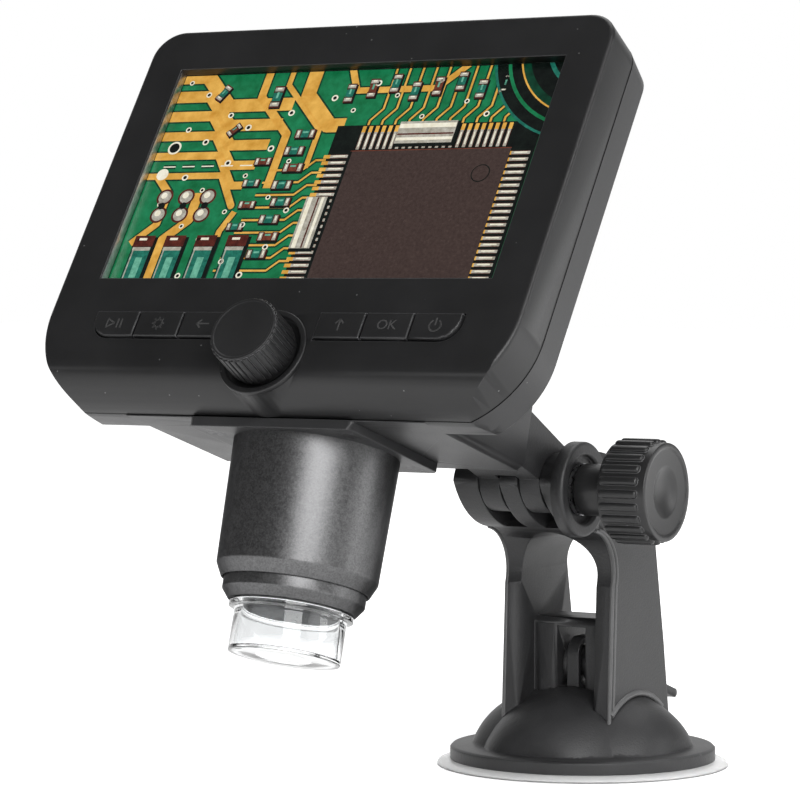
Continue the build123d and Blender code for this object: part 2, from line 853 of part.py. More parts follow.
sleeve_bore = tube_radius + slip
spigot_radius = ring_radius - 1.0
barrel_inner = barrel_radius - barrel_wall
lamp_level = -barrel_bottom + ring_spigot
with BuildPart() as lens_barrel:
    revolve(
        tube_profile(
            [
                (floor_hole, 0),
                (floor_hole + barrel_wall, 0),
                (floor_hole + barrel_wall, -plate_thickness),
                (barrel_radius, -plate_thickness),
                (barrel_low_radius, -barrel_step),
                (barrel_bottom_radius, -barrel_bottom),
                (spigot_radius + slip, -barrel_bottom),
                (spigot_radius + slip, lamp_level + board_thickness + gap),
                (barrel_inner - 0.5, lamp_level + board_thickness + gap),
                (barrel_inner, -plate_thickness - barrel_wall),
                (sleeve_bore + sleeve_wall, -plate_thickness - barrel_wall),
                (sleeve_bore + sleeve_wall, -sleeve_bottom),
                (sleeve_bore, -sleeve_bottom),
                (sleeve_bore, -sleeve_top),
                (floor_hole, -sleeve_top),
            ]
        ),
        axis=barrel_axis,
    )
lens_barrel.part.label = "lens_barrel"

with BuildPart() as nose_ring:
    revolve(
        tube_profile(
            [
                (spigot_radius, lamp_level),
                (spigot_radius, -barrel_bottom),
                (ring_radius, -barrel_bottom),
                (ring_radius, -ring_step),
                (ring_low_radius, -ring_bottom),
                (cap_radius + slip, -ring_bottom),
                (cap_radius + slip, -ring_bottom + cap_spigot + gap),
                (spigot_radius - 1.4, -ring_bottom + cap_spigot + gap),
                (spigot_radius - 1.4, lamp_level),
            ]
        ),
        axis=barrel_axis,
    )
nose_ring.part.label = "nose_ring"

with BuildPart() as lamp_board:
    with BuildSketch(head_level(lamp_level)) as annulus:
        Circle(spigot_radius)
        Circle(sleeve_bore + sleeve_wall, mode=Mode.SUBTRACT)
    extrude(amount=board_thickness)
lamp_board.part.label = "lamp_board"

with BuildPart() as lamps:
    with BuildSketch(head_level(lamp_level)) as lamp_discs:
        with PolarLocations(lamp_ring_radius, lamp_count):
            Circle(lamp_radius)
    extrude(amount=-lamp_height, taper=12)
lamps.part.label = "lamps"

cap_top = -ring_bottom + cap_spigot
cap_seat = -ring_bottom - gap
cap_floor = -cap_bottom + cap_wall
with BuildPart() as nose_cap:
    revolve(
        tube_profile(
            [
                (cap_radius - cap_wall, cap_top),
                (cap_radius, cap_top),
                (cap_radius, cap_seat),
                (cap_flange_radius, cap_seat),
                (cap_flange_radius, cap_seat - cap_flange),
                (cap_radius, cap_seat - cap_flange),
                (cap_radius, -cap_bottom + 0.5),
                (cap_radius - 0.5, -cap_bottom),
                (cap_hole + 0.6, -cap_bottom),
                (cap_hole, -cap_bottom + 0.6),
                (cap_hole, cap_floor),
                (cap_radius - cap_wall, cap_floor),
            ]
        ),
        axis=barrel_axis,
    )
nose_cap.part.label = "nose_cap"

# ---------------------------------------------------------------- arm
bridge_depth = arm_reach - arm_bridge_gap - block_back
arm_outline = [
    (block_back, arm_root_low),
    (arm_reach, arm_end_lift - 3.0),
    (arm_reach + 1.4, arm_end_lift + arm_end_radius - 0.15),
    (block_back, arm_root_high),
]
with BuildPart() as hinge_arm:
    for start in (-prong_outer, prong_inner):
        with BuildSketch(head_side(arm_x + start)) as prong:
            Polygon(*arm_outline, align=None)
            with Locations((arm_reach, arm_end_lift)):
                Circle(arm_end_radius)
            with Locations((arm_reach, 0)):
                Circle(bolt_radius + slip, mode=Mode.SUBTRACT)
        extrude(amount=prong_outer - prong_inner)
    with BuildSketch(head_side(arm_x - prong_inner)) as bridge:
        Polygon(*arm_outline, align=None)
        with Locations((block_back, 0)):
            Rectangle(
                bridge_depth,
                2 * block_height,
                align=(Align.MIN, Align.CENTER),
                mode=Mode.INTERSECT,
            )
    extrude(amount=2 * prong_inner)
    extrude(
        disc_row(head_rear(block_back), arm_screws, screw_radius),
        amount=bridge_depth - 1.5,
        mode=Mode.SUBTRACT,
    )
hinge_arm.part.label = "hinge_arm"

# ---------------------------------------------------------------- screws of the head
with BuildPart() as shell_screws:
    for place in upper_screws + lower_screws:
        head_depth = slab_depth - screw_recess
        extrude(disc_row(screen(head_depth), [place], screw_head_radius), amount=-screw_head)
        extrude(
            disc_row(screen(head_depth), [place], screw_radius),
            amount=head_depth - parting_depth + screw_bite,
        )
shell_screws.part.label = "shell_screws"

with BuildPart() as plate_fixings:
    for place in plate_screws:
        with BuildSketch(head_level(-plate_thickness)) as screw_cone:
            with Locations(place):
                Circle(screw_head_radius)
        extrude(amount=screw_head, taper=35)
        extrude(
            disc_row(head_level(-plate_thickness), [place], screw_radius),
            amount=plate_thickness + plate_screw_bite,
        )
plate_fixings.part.label = "plate_screws"

with BuildPart() as arm_fixings:
    for place in arm_screws:
        inner = block_back - wall
        extrude(disc_row(head_rear(inner), [place], screw_head_radius), amount=-screw_head)
        extrude(disc_row(head_rear(inner), [place], screw_radius), amount=wall + bridge_depth - 2.5)
arm_fixings.part.label = "arm_screws"

# ---------------------------------------------------------------- clamp through the arm
with BuildPart() as hex_nut:
    with BuildSketch(pivot_side(-lug_outer)) as hexagon:
        RegularPolygon(nut_across_flats / 2, 6, major_radius=False)
        Circle(bolt_radius + slip, mode=Mode.SUBTRACT)
    extrude(amount=nut_thickness)
hex_nut.part.label = "hex_nut"

bolt_end = knob_outer_face - 3.5
with BuildPart() as hinge_bolt:
    with BuildSketch(pivot_side(-lug_outer + gap)) as bolt_core:
        Circle(bolt_radius)
    extrude(amount=bolt_end + lug_outer - gap)
    with BuildSketch(pivot_side(bolt_end - bolt_head)) as bolt_hexagon:
        RegularPolygon(bolt_head_radius, 6)
    extrude(amount=bolt_head)
hinge_bolt.part.label = "hinge_bolt"

washer_face = ear_face - ear_recess + gap
neck_face = washer_face + washer_thickness + gap
with BuildPart() as thrust_washer:
    with BuildSketch(pivot_side(washer_face)) as washer_ring:
        Circle(washer_radius)
        Circle(bolt_radius + slip, mode=Mode.SUBTRACT)
    extrude(amount=washer_thickness)
thrust_washer.part.label = "thrust_washer"

with BuildPart() as grip_envelope:
    with BuildSketch(pivot_side(knob_inner_face)) as grip_round:
        Circle(thumb_radius)
    extrude(amount=knob_outer_face - knob_inner_face)
    chamfer(grip_envelope.edges().filter_by(GeomType.CIRCLE), thumb_edge)

with BuildPart() as thumb_knob:
    with BuildSketch(pivot_side(knob_inner_face)) as grip:
        Circle(thumb_radius - thumb_rib)
        with PolarLocations(thumb_radius - 2 * thumb_rib, thumb_ribs):
            Rectangle(4 * thumb_rib, thumb_rib_width)
    extrude(amount=knob_outer_face - knob_inner_face)
    add(grip_envelope.part, mode=Mode.INTERSECT)
    with BuildSketch(pivot_side(neck_face)) as neck:
        Circle(neck_radius)
    extrude(amount=knob_inner_face - neck_face)
    with BuildSketch(pivot_side(knob_outer_face)) as dish:
        Circle(thumb_dish)
    extrude(amount=-thumb_dish_depth, taper=40, mode=Mode.SUBTRACT)
    with BuildSketch(pivot_side(neck_face)) as knob_bore:
        Circle(bolt_radius)
    extrude(amount=bolt_end - neck_face, mode=Mode.SUBTRACT)
    with BuildSketch(pivot_side(bolt_end - bolt_head)) as knob_hexagon:
        RegularPolygon(bolt_head_radius, 6)
    extrude(amount=bolt_head, mode=Mode.SUBTRACT)
thumb_knob.part.label = "thumb_knob"

# ---------------------------------------------------------------- base: cup, dome and stem
with BuildPart() as suction_cup:
    with BuildSketch(stand_side()) as cup_profile:
        Polygon(
            (cup_hole, cup_hollow),
            (cup_radius - cup_ring - 0.6, cup_hollow),
            (cup_radius - cup_ring, 0),
            (cup_radius, 0),
            (cup_radius - 0.3, 0.6),
            (rim_radius, cup_thickness),
            (cup_hole, cup_thickness),
            align=None,
        )
    revolve(axis=Axis.Z)
suction_cup.part.label = "suction_cup"

loop_reach = cam_radius + gap + 1.2
recess_half_depth = loop_reach + 0.5
# a lobe is a half ellipse turned about a level axis below the rim, so that it is broad and low
lobe_sink = (dome_short**2 / dome_height - dome_height) / 2
with BuildPart() as lobe:
    with BuildSketch(Plane.XZ) as lobe_profile:
        with Locations((0, rim_top)):
            Ellipse(dome_long, dome_height)
            Rectangle(
                2 * dome_long,
                dome_height,
                align=(Align.CENTER, Align.MIN),
                mode=Mode.INTERSECT,
            )
            Rectangle(2 * dome_long, lobe_sink, align=(Align.CENTER, Align.MAX))
    revolve(axis=Axis((0, 0, rim_top - lobe_sink), (1, 0, 0)))
    split(bisect_by=Plane.XY.offset(rim_top - 0.5), keep=Keep.TOP)
dome_lobes = lobe.part + lobe.part.rotate(Axis.Z, 90)

with BuildPart() as base_dome:
    with BuildSketch(Plane.XY.offset(cup_thickness)) as rim:
        Circle(rim_radius)
    extrude(amount=rim_top - cup_thickness)
    chamfer(base_dome.edges().group_by(Axis.Z)[-1], 0.5)
    add(dome_lobes)
    with BuildSketch(Plane.XY.offset(cup_thickness)) as foot_room:
        Circle(foot_radius + 2 * gap)
    extrude(amount=foot_low + foot_thickness + 2 * gap - cup_thickness, mode=Mode.SUBTRACT)
    with BuildSketch(Plane.XY.offset(cup_thickness)) as stem_bore:
        with Locations((0, lever_y)):
            Circle(stem_radius + slip)
    extrude(amount=bar_slot_floor, mode=Mode.SUBTRACT)
    with BuildSketch(Plane.XY.offset(bar_slot_floor)) as lever_recess:
        with Locations((0, lever_y)):
            Rectangle(2 * bar_slot, 2 * recess_half_depth)
    extrude(amount=dome_height, mode=Mode.SUBTRACT)
base_dome.part.label = "base_dome"

with BuildPart() as cup_stem:
    with BuildSketch(Plane.XY.offset(foot_low)) as foot:
        Circle(foot_radius)
    extrude(amount=foot_thickness)
    loop_low = bar_slot_floor + gap + stem_travel + 0.25
    window_low = loop_low + 1.5
    window_high = lever_z + cam_radius + 2 * gap
    with BuildSketch(Plane.XY.offset(foot_low)) as stem_rod:
        with Locations((0, lever_y)):
            Circle(stem_radius)
    extrude(amount=loop_low - foot_low)
    with BuildSketch(stand_side(-loop_half_width)) as loop:
        with Locations((lever_y, loop_low)):
            Rectangle(2 * loop_reach, window_high + 1.5 - loop_low, align=(Align.CENTER, Align.MIN))
        fillet(loop.vertices().group_by(Axis.Y)[-1], loop_round)
        with Locations((lever_y, (window_low + window_high) / 2)):
            RectangleRounded(
                2 * (cam_radius + gap),
                window_high - window_low,
                window_round,
                mode=Mode.SUBTRACT,
            )
    extrude(amount=2 * loop_half_width)
cup_stem.part.label = "cup_stem"

# ---------------------------------------------------------------- stand
neck_start = (-11.0, 40.0)
neck_middle = (-13.1, 49.7)
neck_end = (-18.9, 52.8)
lug_under = (pivot_y - 1.0, pivot_z - 6.1)
lug_front = (pivot_y - lug_radius + 0.15, pivot_z + 1.5)
lug_crown = (pivot_y + 0.5, pivot_z + lug_radius - 0.02)
lug_brow = (
    pivot_y - lug_radius * math.cos(math.radians(45)),
    pivot_z + lug_radius * math.sin(math.radians(45)),
)
shoulder_middle = (-4.9, 65.4)
shoulder_end = (8.6, 50.0)
leg_knee = (12.9, 26.7)

with BuildPart() as stand_yoke:
    with BuildSketch(stand_side(-lug_outer)) as yoke_section:
        with BuildLine():
            Line((leg_front_low, leg_foot), neck_start)
            ThreePointArc(neck_start, neck_middle, neck_end)
            ThreePointArc(neck_end, lug_under, lug_front)
            ThreePointArc(lug_front, lug_brow, lug_crown)
            ThreePointArc(lug_crown, shoulder_middle, shoulder_end)
            Polyline(shoulder_end, leg_knee, (leg_back_low, leg_foot), (leg_front_low, leg_foot))
        make_face()
    extrude(amount=2 * lug_outer)
    # arched window between the legs
    arch_spring = window_arch_top - leg_inner
    with BuildSketch(Plane.XZ) as arch:
        Rectangle(2 * leg_inner, arch_spring, align=(Align.CENTER, Align.MIN))
        with Locations((0, arch_spring)):
            Circle(leg_inner)
    extrude(amount=40, both=True, mode=Mode.SUBTRACT)
    # slots for the two prongs of the arm
    for start in (-prong_outer - lug_gap, prong_inner - lug_gap):
        with BuildSketch(pivot_side(start)) as slot:
            Circle(slot_radius)
            with Locations((0, slot_top - pivot_z)):
                Rectangle(4 * slot_radius, 2 * slot_radius, align=(Align.CENTER, Align.MIN))
        extrude(amount=prong_outer - prong_inner + 2 * lug_gap, mode=Mode.SUBTRACT)
    # ear round the thumb knob's neck
    with BuildSketch(pivot_side(ear_face - ear_thickness)) as ear:
        Circle(ear_radius)
    extrude(amount=ear_thickness)
    with BuildSketch(pivot_side(ear_face)) as ear_hollow:
        Circle(ear_recess_radius)
    extrude(amount=-ear_recess, mode=Mode.SUBTRACT)
    ear_rim = stand_yoke.edges().filter_by(GeomType.CIRCLE).group_by(Axis.X)[-1]
    fillet(ear_rim, ear_edge)
    with BuildSketch(pivot_side(-lug_outer)) as bolt_bore:
        Circle(bolt_radius + slip)
    extrude(amount=lug_outer + ear_face, mode=Mode.SUBTRACT)
    with BuildSketch(pivot_side(-lug_outer)) as nut_seat:
        RegularPolygon(nut_across_flats / 2, 6, major_radius=False)
    extrude(amount=nut_thickness, mode=Mode.SUBTRACT)
    # bar between the legs with the lever's slot
    with BuildSketch(stand_side(-leg_inner)) as bar_section:
        Polygon(
            (bar_front, bar_bottom),
            (bar_back, bar_bottom),
            (bar_back, bar_top - 1.0),
            (bar_back - 1.0, bar_top),
            (bar_front + 1.0, bar_top),
            (bar_front, bar_top - 1.0),
            align=None,
        )
    extrude(amount=2 * leg_inner)
    with BuildSketch(Plane.XZ.offset(-bar_front)) as bar_panel:
        with Locations((-bar_slot - 0.5, bar_bottom + 1.5)):
            Rectangle(
                bar_panel_width,
                bar_top - bar_bottom - 3.0,
                align=(Align.MAX, Align.MIN),
            )
    extrude(amount=bar_panel_proud)
    with BuildSketch(Plane.XZ) as bar_opening:
        with Locations((0, bar_bottom)):
            Rectangle(2 * bar_slot, bar_slot_top - bar_bottom, align=(Align.CENTER, Align.MIN))
    extrude(amount=20, both=True, mode=Mode.SUBTRACT)
    with BuildSketch(stand_side(-bar_pin_half)) as pin_bore:
        with Locations((lever_y, lever_z)):
            Circle(lever_pin_radius)
    extrude(amount=2 * bar_pin_half, mode=Mode.SUBTRACT)
    add(dome_lobes, mode=Mode.SUBTRACT)
stand_yoke.part.label = "stand_yoke"

with BuildPart() as lever_pin:
    with BuildSketch(stand_side(-bar_pin_half)) as pin_disc:
        with Locations((lever_y, lever_z)):
            Circle(lever_pin_radius)
    extrude(amount=2 * bar_pin_half)
lever_pin.part.label = "lever_pin"

# ---------------------------------------------------------------- locking lever
swing = math.radians(lever_swing)
cam_rate = stem_travel / swing
cam_low = cam_radius - stem_travel
cam_start = math.pi / 2 - swing - math.radians(6)
cam_end = math.pi / 2 + math.radians(3)


def cam_point(angle):
    """Point of the cam's spiral at an angle from straight back."""
    reach = cam_radius - cam_rate * (math.pi / 2 - angle)
    return lever_y + reach * math.cos(angle), lever_z + reach * math.sin(angle)


tail_top = lever_z + lever_hub_radius - 1.9
tail_root = recess_half_depth + 0.8
with BuildPart() as lock_lever:
    for start in (-lever_half_width, loop_half_width + gap):
        with BuildSketch(stand_side(start)) as cheek:
            with Locations((lever_y, lever_z)):
                Circle(lever_hub_radius)
            Polygon(
                (lever_y + 1.0, lever_z - 0.4),
                (lever_y + 1.0, tail_top),
                (lever_y + tail_root + 0.5, tail_top - 1.7),
                (lever_y + tail_root + 0.5, tail_top - 3.7),
                align=None,
            )
        extrude(amount=lever_half_width - loop_half_width - gap)
    with BuildSketch(stand_side(-lever_half_width)) as tail:
        with BuildLine():
            root_y = lever_y + tail_root
            root_z = tail_top - 1.6
            Polyline((root_y, root_z), (lever_tail_y - 1, lever_tail_z + lever_thickness))
            ThreePointArc(
                (lever_tail_y - 1, lever_tail_z + lever_thickness),
                (lever_tail_y, lever_tail_z + lever_thickness / 2),
                (lever_tail_y - 1, lever_tail_z),
            )
            Polyline(
                (lever_tail_y - 1, lever_tail_z),
                (root_y, root_z - lever_thickness),
                (root_y, root_z),
            )
        make_face()
    extrude(amount=2 * lever_half_width)
    with BuildSketch(stand_side(-loop_half_width - gap)) as cam:
        with BuildLine():
            Spline(*[cam_point(cam_start + (cam_end - cam_start) * step / 6) for step in range(7)])
            Line(cam_point(cam_end), (lever_y - cam_low, lever_z))
            ThreePointArc((lever_y - cam_low, lever_z), (lever_y, lever_z - cam_low), (lever_y + cam_low, lever_z))
            Line((lever_y + cam_low, lever_z), cam_point(cam_start))
        make_face()
    extrude(amount=2 * (loop_half_width + gap))
    with BuildSketch(stand_side(-lever_half_width)) as lever_bore:
        with Locations((lever_y, lever_z)):
            Circle(lever_pin_radius + slip)
    extrude(amount=2 * lever_half_width, mode=Mode.SUBTRACT)
lock_lever.part.label = "lock_lever"

# ---------------------------------------------------------------- files
pieces = [
    front_shell,
    rear_shell,
    screen_frame,
    screen_panel,
    backlight,
    main_board,
    board_chips,
    key_board,
    key_switches,
    battery_cell,
    usb_socket,
    card_socket,
    dimmer_pot,
    dimmer_wheel,
    sensor_board,
    image_sensor,
    *keys,
    focus_knob,
    focus_shaft,
    focus_pinion,
    shaft_clip,
    lens_tube,
    objective_lens,
    flange_plate,
    lens_barrel,
    nose_ring,
    lamp_board,
    lamps,
    nose_cap,
    hinge_arm,
    shell_screws,
    plate_fixings,
    arm_fixings,
    hex_nut,
    hinge_bolt,
    thrust_washer,
    thumb_knob,
    suction_cup,
    base_dome,
    cup_stem,
    stand_yoke,
    lever_pin,
    lock_lever,
]
for piece in pieces:
    export_step(piece.part, f"parts/{piece.part.label}.step")
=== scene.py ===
"""Looks of the LCD digital microscope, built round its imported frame."""

import json
import logging
import math
from collections.abc import Callable, Sequence
from dataclasses import dataclass, field
from enum import Enum

import bpy
from mathutils import Matrix, Vector

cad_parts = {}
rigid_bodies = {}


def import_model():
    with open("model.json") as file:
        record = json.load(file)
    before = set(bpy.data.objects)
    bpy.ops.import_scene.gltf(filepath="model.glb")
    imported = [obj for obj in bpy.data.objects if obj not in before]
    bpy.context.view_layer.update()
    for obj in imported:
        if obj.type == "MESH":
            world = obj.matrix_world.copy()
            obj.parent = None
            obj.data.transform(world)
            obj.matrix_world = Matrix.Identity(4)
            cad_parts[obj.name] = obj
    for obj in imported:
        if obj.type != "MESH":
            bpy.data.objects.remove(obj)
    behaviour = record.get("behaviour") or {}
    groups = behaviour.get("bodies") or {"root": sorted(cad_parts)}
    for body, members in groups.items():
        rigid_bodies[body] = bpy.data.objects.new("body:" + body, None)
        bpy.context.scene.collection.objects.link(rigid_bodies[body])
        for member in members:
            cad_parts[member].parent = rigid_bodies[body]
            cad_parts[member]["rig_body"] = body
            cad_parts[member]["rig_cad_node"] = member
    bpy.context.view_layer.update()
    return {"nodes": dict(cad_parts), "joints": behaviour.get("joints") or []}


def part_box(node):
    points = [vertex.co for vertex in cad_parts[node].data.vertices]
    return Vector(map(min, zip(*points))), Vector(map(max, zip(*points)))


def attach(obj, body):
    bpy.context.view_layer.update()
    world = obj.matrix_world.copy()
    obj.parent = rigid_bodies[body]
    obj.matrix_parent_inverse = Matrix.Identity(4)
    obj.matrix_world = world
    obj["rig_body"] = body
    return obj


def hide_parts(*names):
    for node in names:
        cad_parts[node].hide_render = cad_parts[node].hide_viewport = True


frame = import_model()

log = logging.getLogger("microscope")

MM = 0.001
MERGE_GAP = 1e-6                # vertices of a new piece closer than this are one
CAD_MERGE_GAP = 2e-6            # the same on a copy of a CAD node, in metres
END_FACING = 0.9                # share of a normal along z past which a face is an end
SMOOTH_ANGLE = 40.0             # edges flatter than this many degrees are shaded smooth
Colour = tuple[float, float, float]
Place = tuple[float, float]


class Body(str, Enum):
    """Bodies of the frame that pieces ride on."""

    STAND = "stand"
    HEAD = "head"
    FOCUS = "focus"
    CARRIAGE = "lens_carriage"
    CAP = "cap"
    CLAMP = "clamp_knob"
    LEVER = "lever"


# ------------------------------------------------------------------------------ modelling steps
def only(*pieces: bpy.types.Object) -> None:
    """Leaves just these objects selected, the first one active.

    Args:
        *pieces: Objects to select.
    """
    if bpy.context.object and bpy.context.object.mode != "OBJECT":
        bpy.ops.object.mode_set(mode="OBJECT")
    bpy.ops.object.select_all(action="DESELECT")
    for piece in pieces:
        piece.select_set(True)
    bpy.context.view_layer.objects.active = pieces[0]


def start(name: str, add: Callable[..., set[str]], **sizes: object) -> bpy.types.Object:
    """Adds one primitive with nothing else selected.

    Args:
        name: Name of the new object and its mesh.
        add: Operator that adds the primitive.
        **sizes: Options of that operator.

    Returns:
        The new object.
    """
    bpy.ops.object.select_all(action="DESELECT")
    add(**sizes)
    piece = bpy.context.object
    piece.name = name
    piece.data.name = name
    return piece


def join(name: str, pieces: Sequence[bpy.types.Object]) -> bpy.types.Object:
    """Joins objects into one and names it.

    Args:
        name: Name of the joined object.
        pieces: Objects to join, the first of which is kept.

    Returns:
        The joined object.
    """
    only(*pieces)
    if len(pieces) > 1:
        bpy.ops.object.join()
    piece = bpy.context.object
    piece.name = name
    piece.data.name = name
    return piece


def seat(piece: bpy.types.Object, place: Matrix) -> bpy.types.Object:
    """Moves a piece by a matrix and puts its place into its mesh.

    Args:
        piece: Object modelled in its own units.
        place: Matrix from those units to the frame.

    Returns:
        The same object, unturned and unscaled.
    """
    bpy.context.view_layer.update()
    piece.matrix_world = place @ piece.matrix_world
    only(piece)
    bpy.ops.object.transform_apply(location=True, rotation=True, scale=True)
    return piece


def edit(piece: bpy.types.Object) -> None:
    """Opens a piece for editing, with its present selection of faces.

    Args:
        piece: Object to open.
    """
    only(piece)
    bpy.ops.object.mode_set(mode="EDIT")
    bpy.ops.mesh.select_mode(type="FACE")


def edit_all(piece: bpy.types.Object) -> None:
    """Opens a piece for editing with all of it selected."""
    edit(piece)
    bpy.ops.mesh.select_all(action="SELECT")


def close() -> None:
    """Goes back from editing to the object."""
    bpy.ops.object.mode_set(mode="OBJECT")


def pick_faces(piece: bpy.types.Object, test: Callable[[Vector, Vector], bool]) -> None:
    """Opens a piece with just the faces selected that pass a test.

    Args:
        piece: Object to open.
        test: Takes a face's centre and normal and says whether it is selected.
    """
    mesh = piece.data
    for vertex in mesh.vertices:
        vertex.select = False
    for edge in mesh.edges:
        edge.select = False
    for face in mesh.polygons:
        face.select = test(face.center, face.normal)
    edit(piece)


def pick_end(piece: bpy.types.Object, side: int) -> None:
    """Opens a piece with just its upper end selected, side 1, or its lower end, side -1."""
    pick_faces(piece, lambda centre, normal: normal.z * side > END_FACING)


def cylinder(name: str, radius: float, low: float, high: float, sides: int) -> bpy.types.Object:
    """Adds a cylinder that stands on the z axis.

    Args:
        name: Name of the new object.
        radius: Its radius.
        low: Height of its lower end.
        high: Height of its upper end.
        sides: Faces round it.

    Returns:
        The cylinder, with its place in its mesh.
    """
    add = bpy.ops.mesh.primitive_cylinder_add
    middle = (0, 0, (low + high) / 2)
    piece = start(name, add, vertices=sides, radius=radius, depth=high - low, location=middle)
    bpy.ops.object.transform_apply(location=True)
    return piece


def block(name: str, place: Sequence[float], size: Sequence[float]) -> bpy.types.Object:
    """Adds a box.

    Args:
        name: Name of the new object.
        place: Its centre.
        size: Its width, depth and height.

    Returns:
        The box, with its place and size in its mesh.
    """
    piece = start(name, bpy.ops.mesh.primitive_cube_add, size=1, location=place)
    piece.scale = size
    bpy.ops.object.transform_apply(location=True, scale=True)
    return piece


def finish_modifiers(piece: bpy.types.Object) -> None:
    """Applies every modifier of a piece.

    Args:
        piece: The piece.
    """
    only(piece)
    for name in [modifier.name for modifier in piece.modifiers]:
        bpy.ops.object.modifier_apply(modifier=name)


def round_edges(piece: bpy.types.Object, width: float, steps: int = 2, angle: float = 28.0) -> None:
    """Rounds the sharp edges of a piece and shades it smooth.

    Args:
        piece: Object to round.
        width: Width of the round, in the piece's own units.
        steps: Faces across the round.
        angle: Edges sharper than this many degrees are rounded.
    """
    bevel = piece.modifiers.new("round", "BEVEL")
    bevel.width = width
    bevel.segments = steps
    bevel.limit_method = "ANGLE"
    bevel.angle_limit = math.radians(angle)
    finish_modifiers(piece)
    smooth(piece, SMOOTH_ANGLE)


def smooth(piece: bpy.types.Object, angle: float) -> None:
    """Shades a piece smooth across edges flatter than an angle in degrees."""
    only(piece)
    bpy.ops.object.shade_smooth_by_angle(angle=math.radians(angle))


def point_outwards(piece: bpy.types.Object) -> None:
    """Merges doubles and turns every face outwards.

    Args:
        piece: The piece.
    """
    edit_all(piece)
    bpy.ops.mesh.remove_doubles(threshold=MERGE_GAP)
    bpy.ops.mesh.select_all(action="SELECT")
    bpy.ops.mesh.normals_make_consistent(inside=False)
    close()


def merged_copy(node: str, name: str) -> bpy.types.Object:
    """Copy of a CAD node with its mesh merged, on no body yet.

    Args:
        node: Name of the CAD node, still shown.
        name: Name of the new piece.

    Returns:
        The new piece.
    """
    only(frame["nodes"][node])
    bpy.ops.object.duplicate()
    piece = bpy.context.object
    bpy.ops.object.parent_clear(type="CLEAR_KEEP_TRANSFORM")
    piece.name = name
    piece.data.name = name
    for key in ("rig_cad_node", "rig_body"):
        if key in piece:
            del piece[key]
    edit_all(piece)
    bpy.ops.mesh.remove_doubles(threshold=CAD_MERGE_GAP)
    close()
    return piece


def skin(node: str, name: str, angle: float = 32.0) -> bpy.types.Object:
    """Smooth-shaded copy of a CAD node, which it then stands for.

    Args:
        node: Name of the CAD node.
        name: Name of the new piece.
        angle: Edges flatter than this many degrees are shaded smooth.

    Returns:
        The new piece, which still has to ride on a body.
    """
    piece = merged_copy(node, name)
    smooth(piece, angle)
    even = piece.modifiers.new("even_normals", "WEIGHTED_NORMAL")
    even.keep_sharp = True
    finish_modifiers(piece)
    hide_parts(node)
    return piece


# ------------------------------------------------------------------------------ places
@dataclass(frozen=True)
class FaceGrid:
    """Grid on the screen face: x to the right, v up the face and out towards the user, in mm."""

    origin: Vector
    up: Vector
    out: Vector

    def matrix(self, x: float = 0.0, v: float = 0.0, out: float = 0.0) -> Matrix:
        """Matrix from millimetres on the face at a place to the frame.

        Args:
            x: Millimetres to the right.
            v: Millimetres up the face.
            out: Millimetres out of the face.

        Returns:
            The matrix.
        """
        place = self.origin + MM * (Vector((x, 0, 0)) + self.up * v + self.out * out)
        turn = Matrix((Vector((1, 0, 0)), self.up, self.out)).transposed().to_4x4()
        return Matrix.Translation(place) @ turn @ Matrix.Scale(MM, 4)


def joint_named(name: str) -> dict:
    """Joint of the frame with that name."""
    return next(joint for joint in frame["joints"] if joint["name"] == name)


KNOB_BELOW_WINDOW = 45.5        # focus knob's centre below the window's centre, up the face
KEY_ROW_ABOVE_KNOB = 6.2
BARREL_TOP = (-60.38, 72.345)   # where the barrel's axis meets the plate, back and up


def face_grid() -> FaceGrid:
    """Grid of the screen face, with its origin at the window's centre.

    Returns:
        The grid.
    """
    focus = joint_named("focus_turn")
    out = Vector(focus["axis"]).normalized()
    up = out.cross(Vector((1, 0, 0)))
    knob = Vector(focus["pos_m"])
    return FaceGrid(knob + up * KNOB_BELOW_WINDOW * MM, up, out)


def axle(place: Vector, axis: Vector, up: Vector) -> Matrix:
    """Matrix from millimetres to the frame, with its own z along an axis.

    Args:
        place: Where the axle starts, in metres.
        axis: Direction of the axle.
        up: Direction of its own y.

    Returns:
        The matrix.
    """
    side = up.cross(axis)
    turn = Matrix((side, up, axis)).transposed().to_4x4()
    return Matrix.Translation(place) @ turn @ Matrix.Scale(MM, 4)


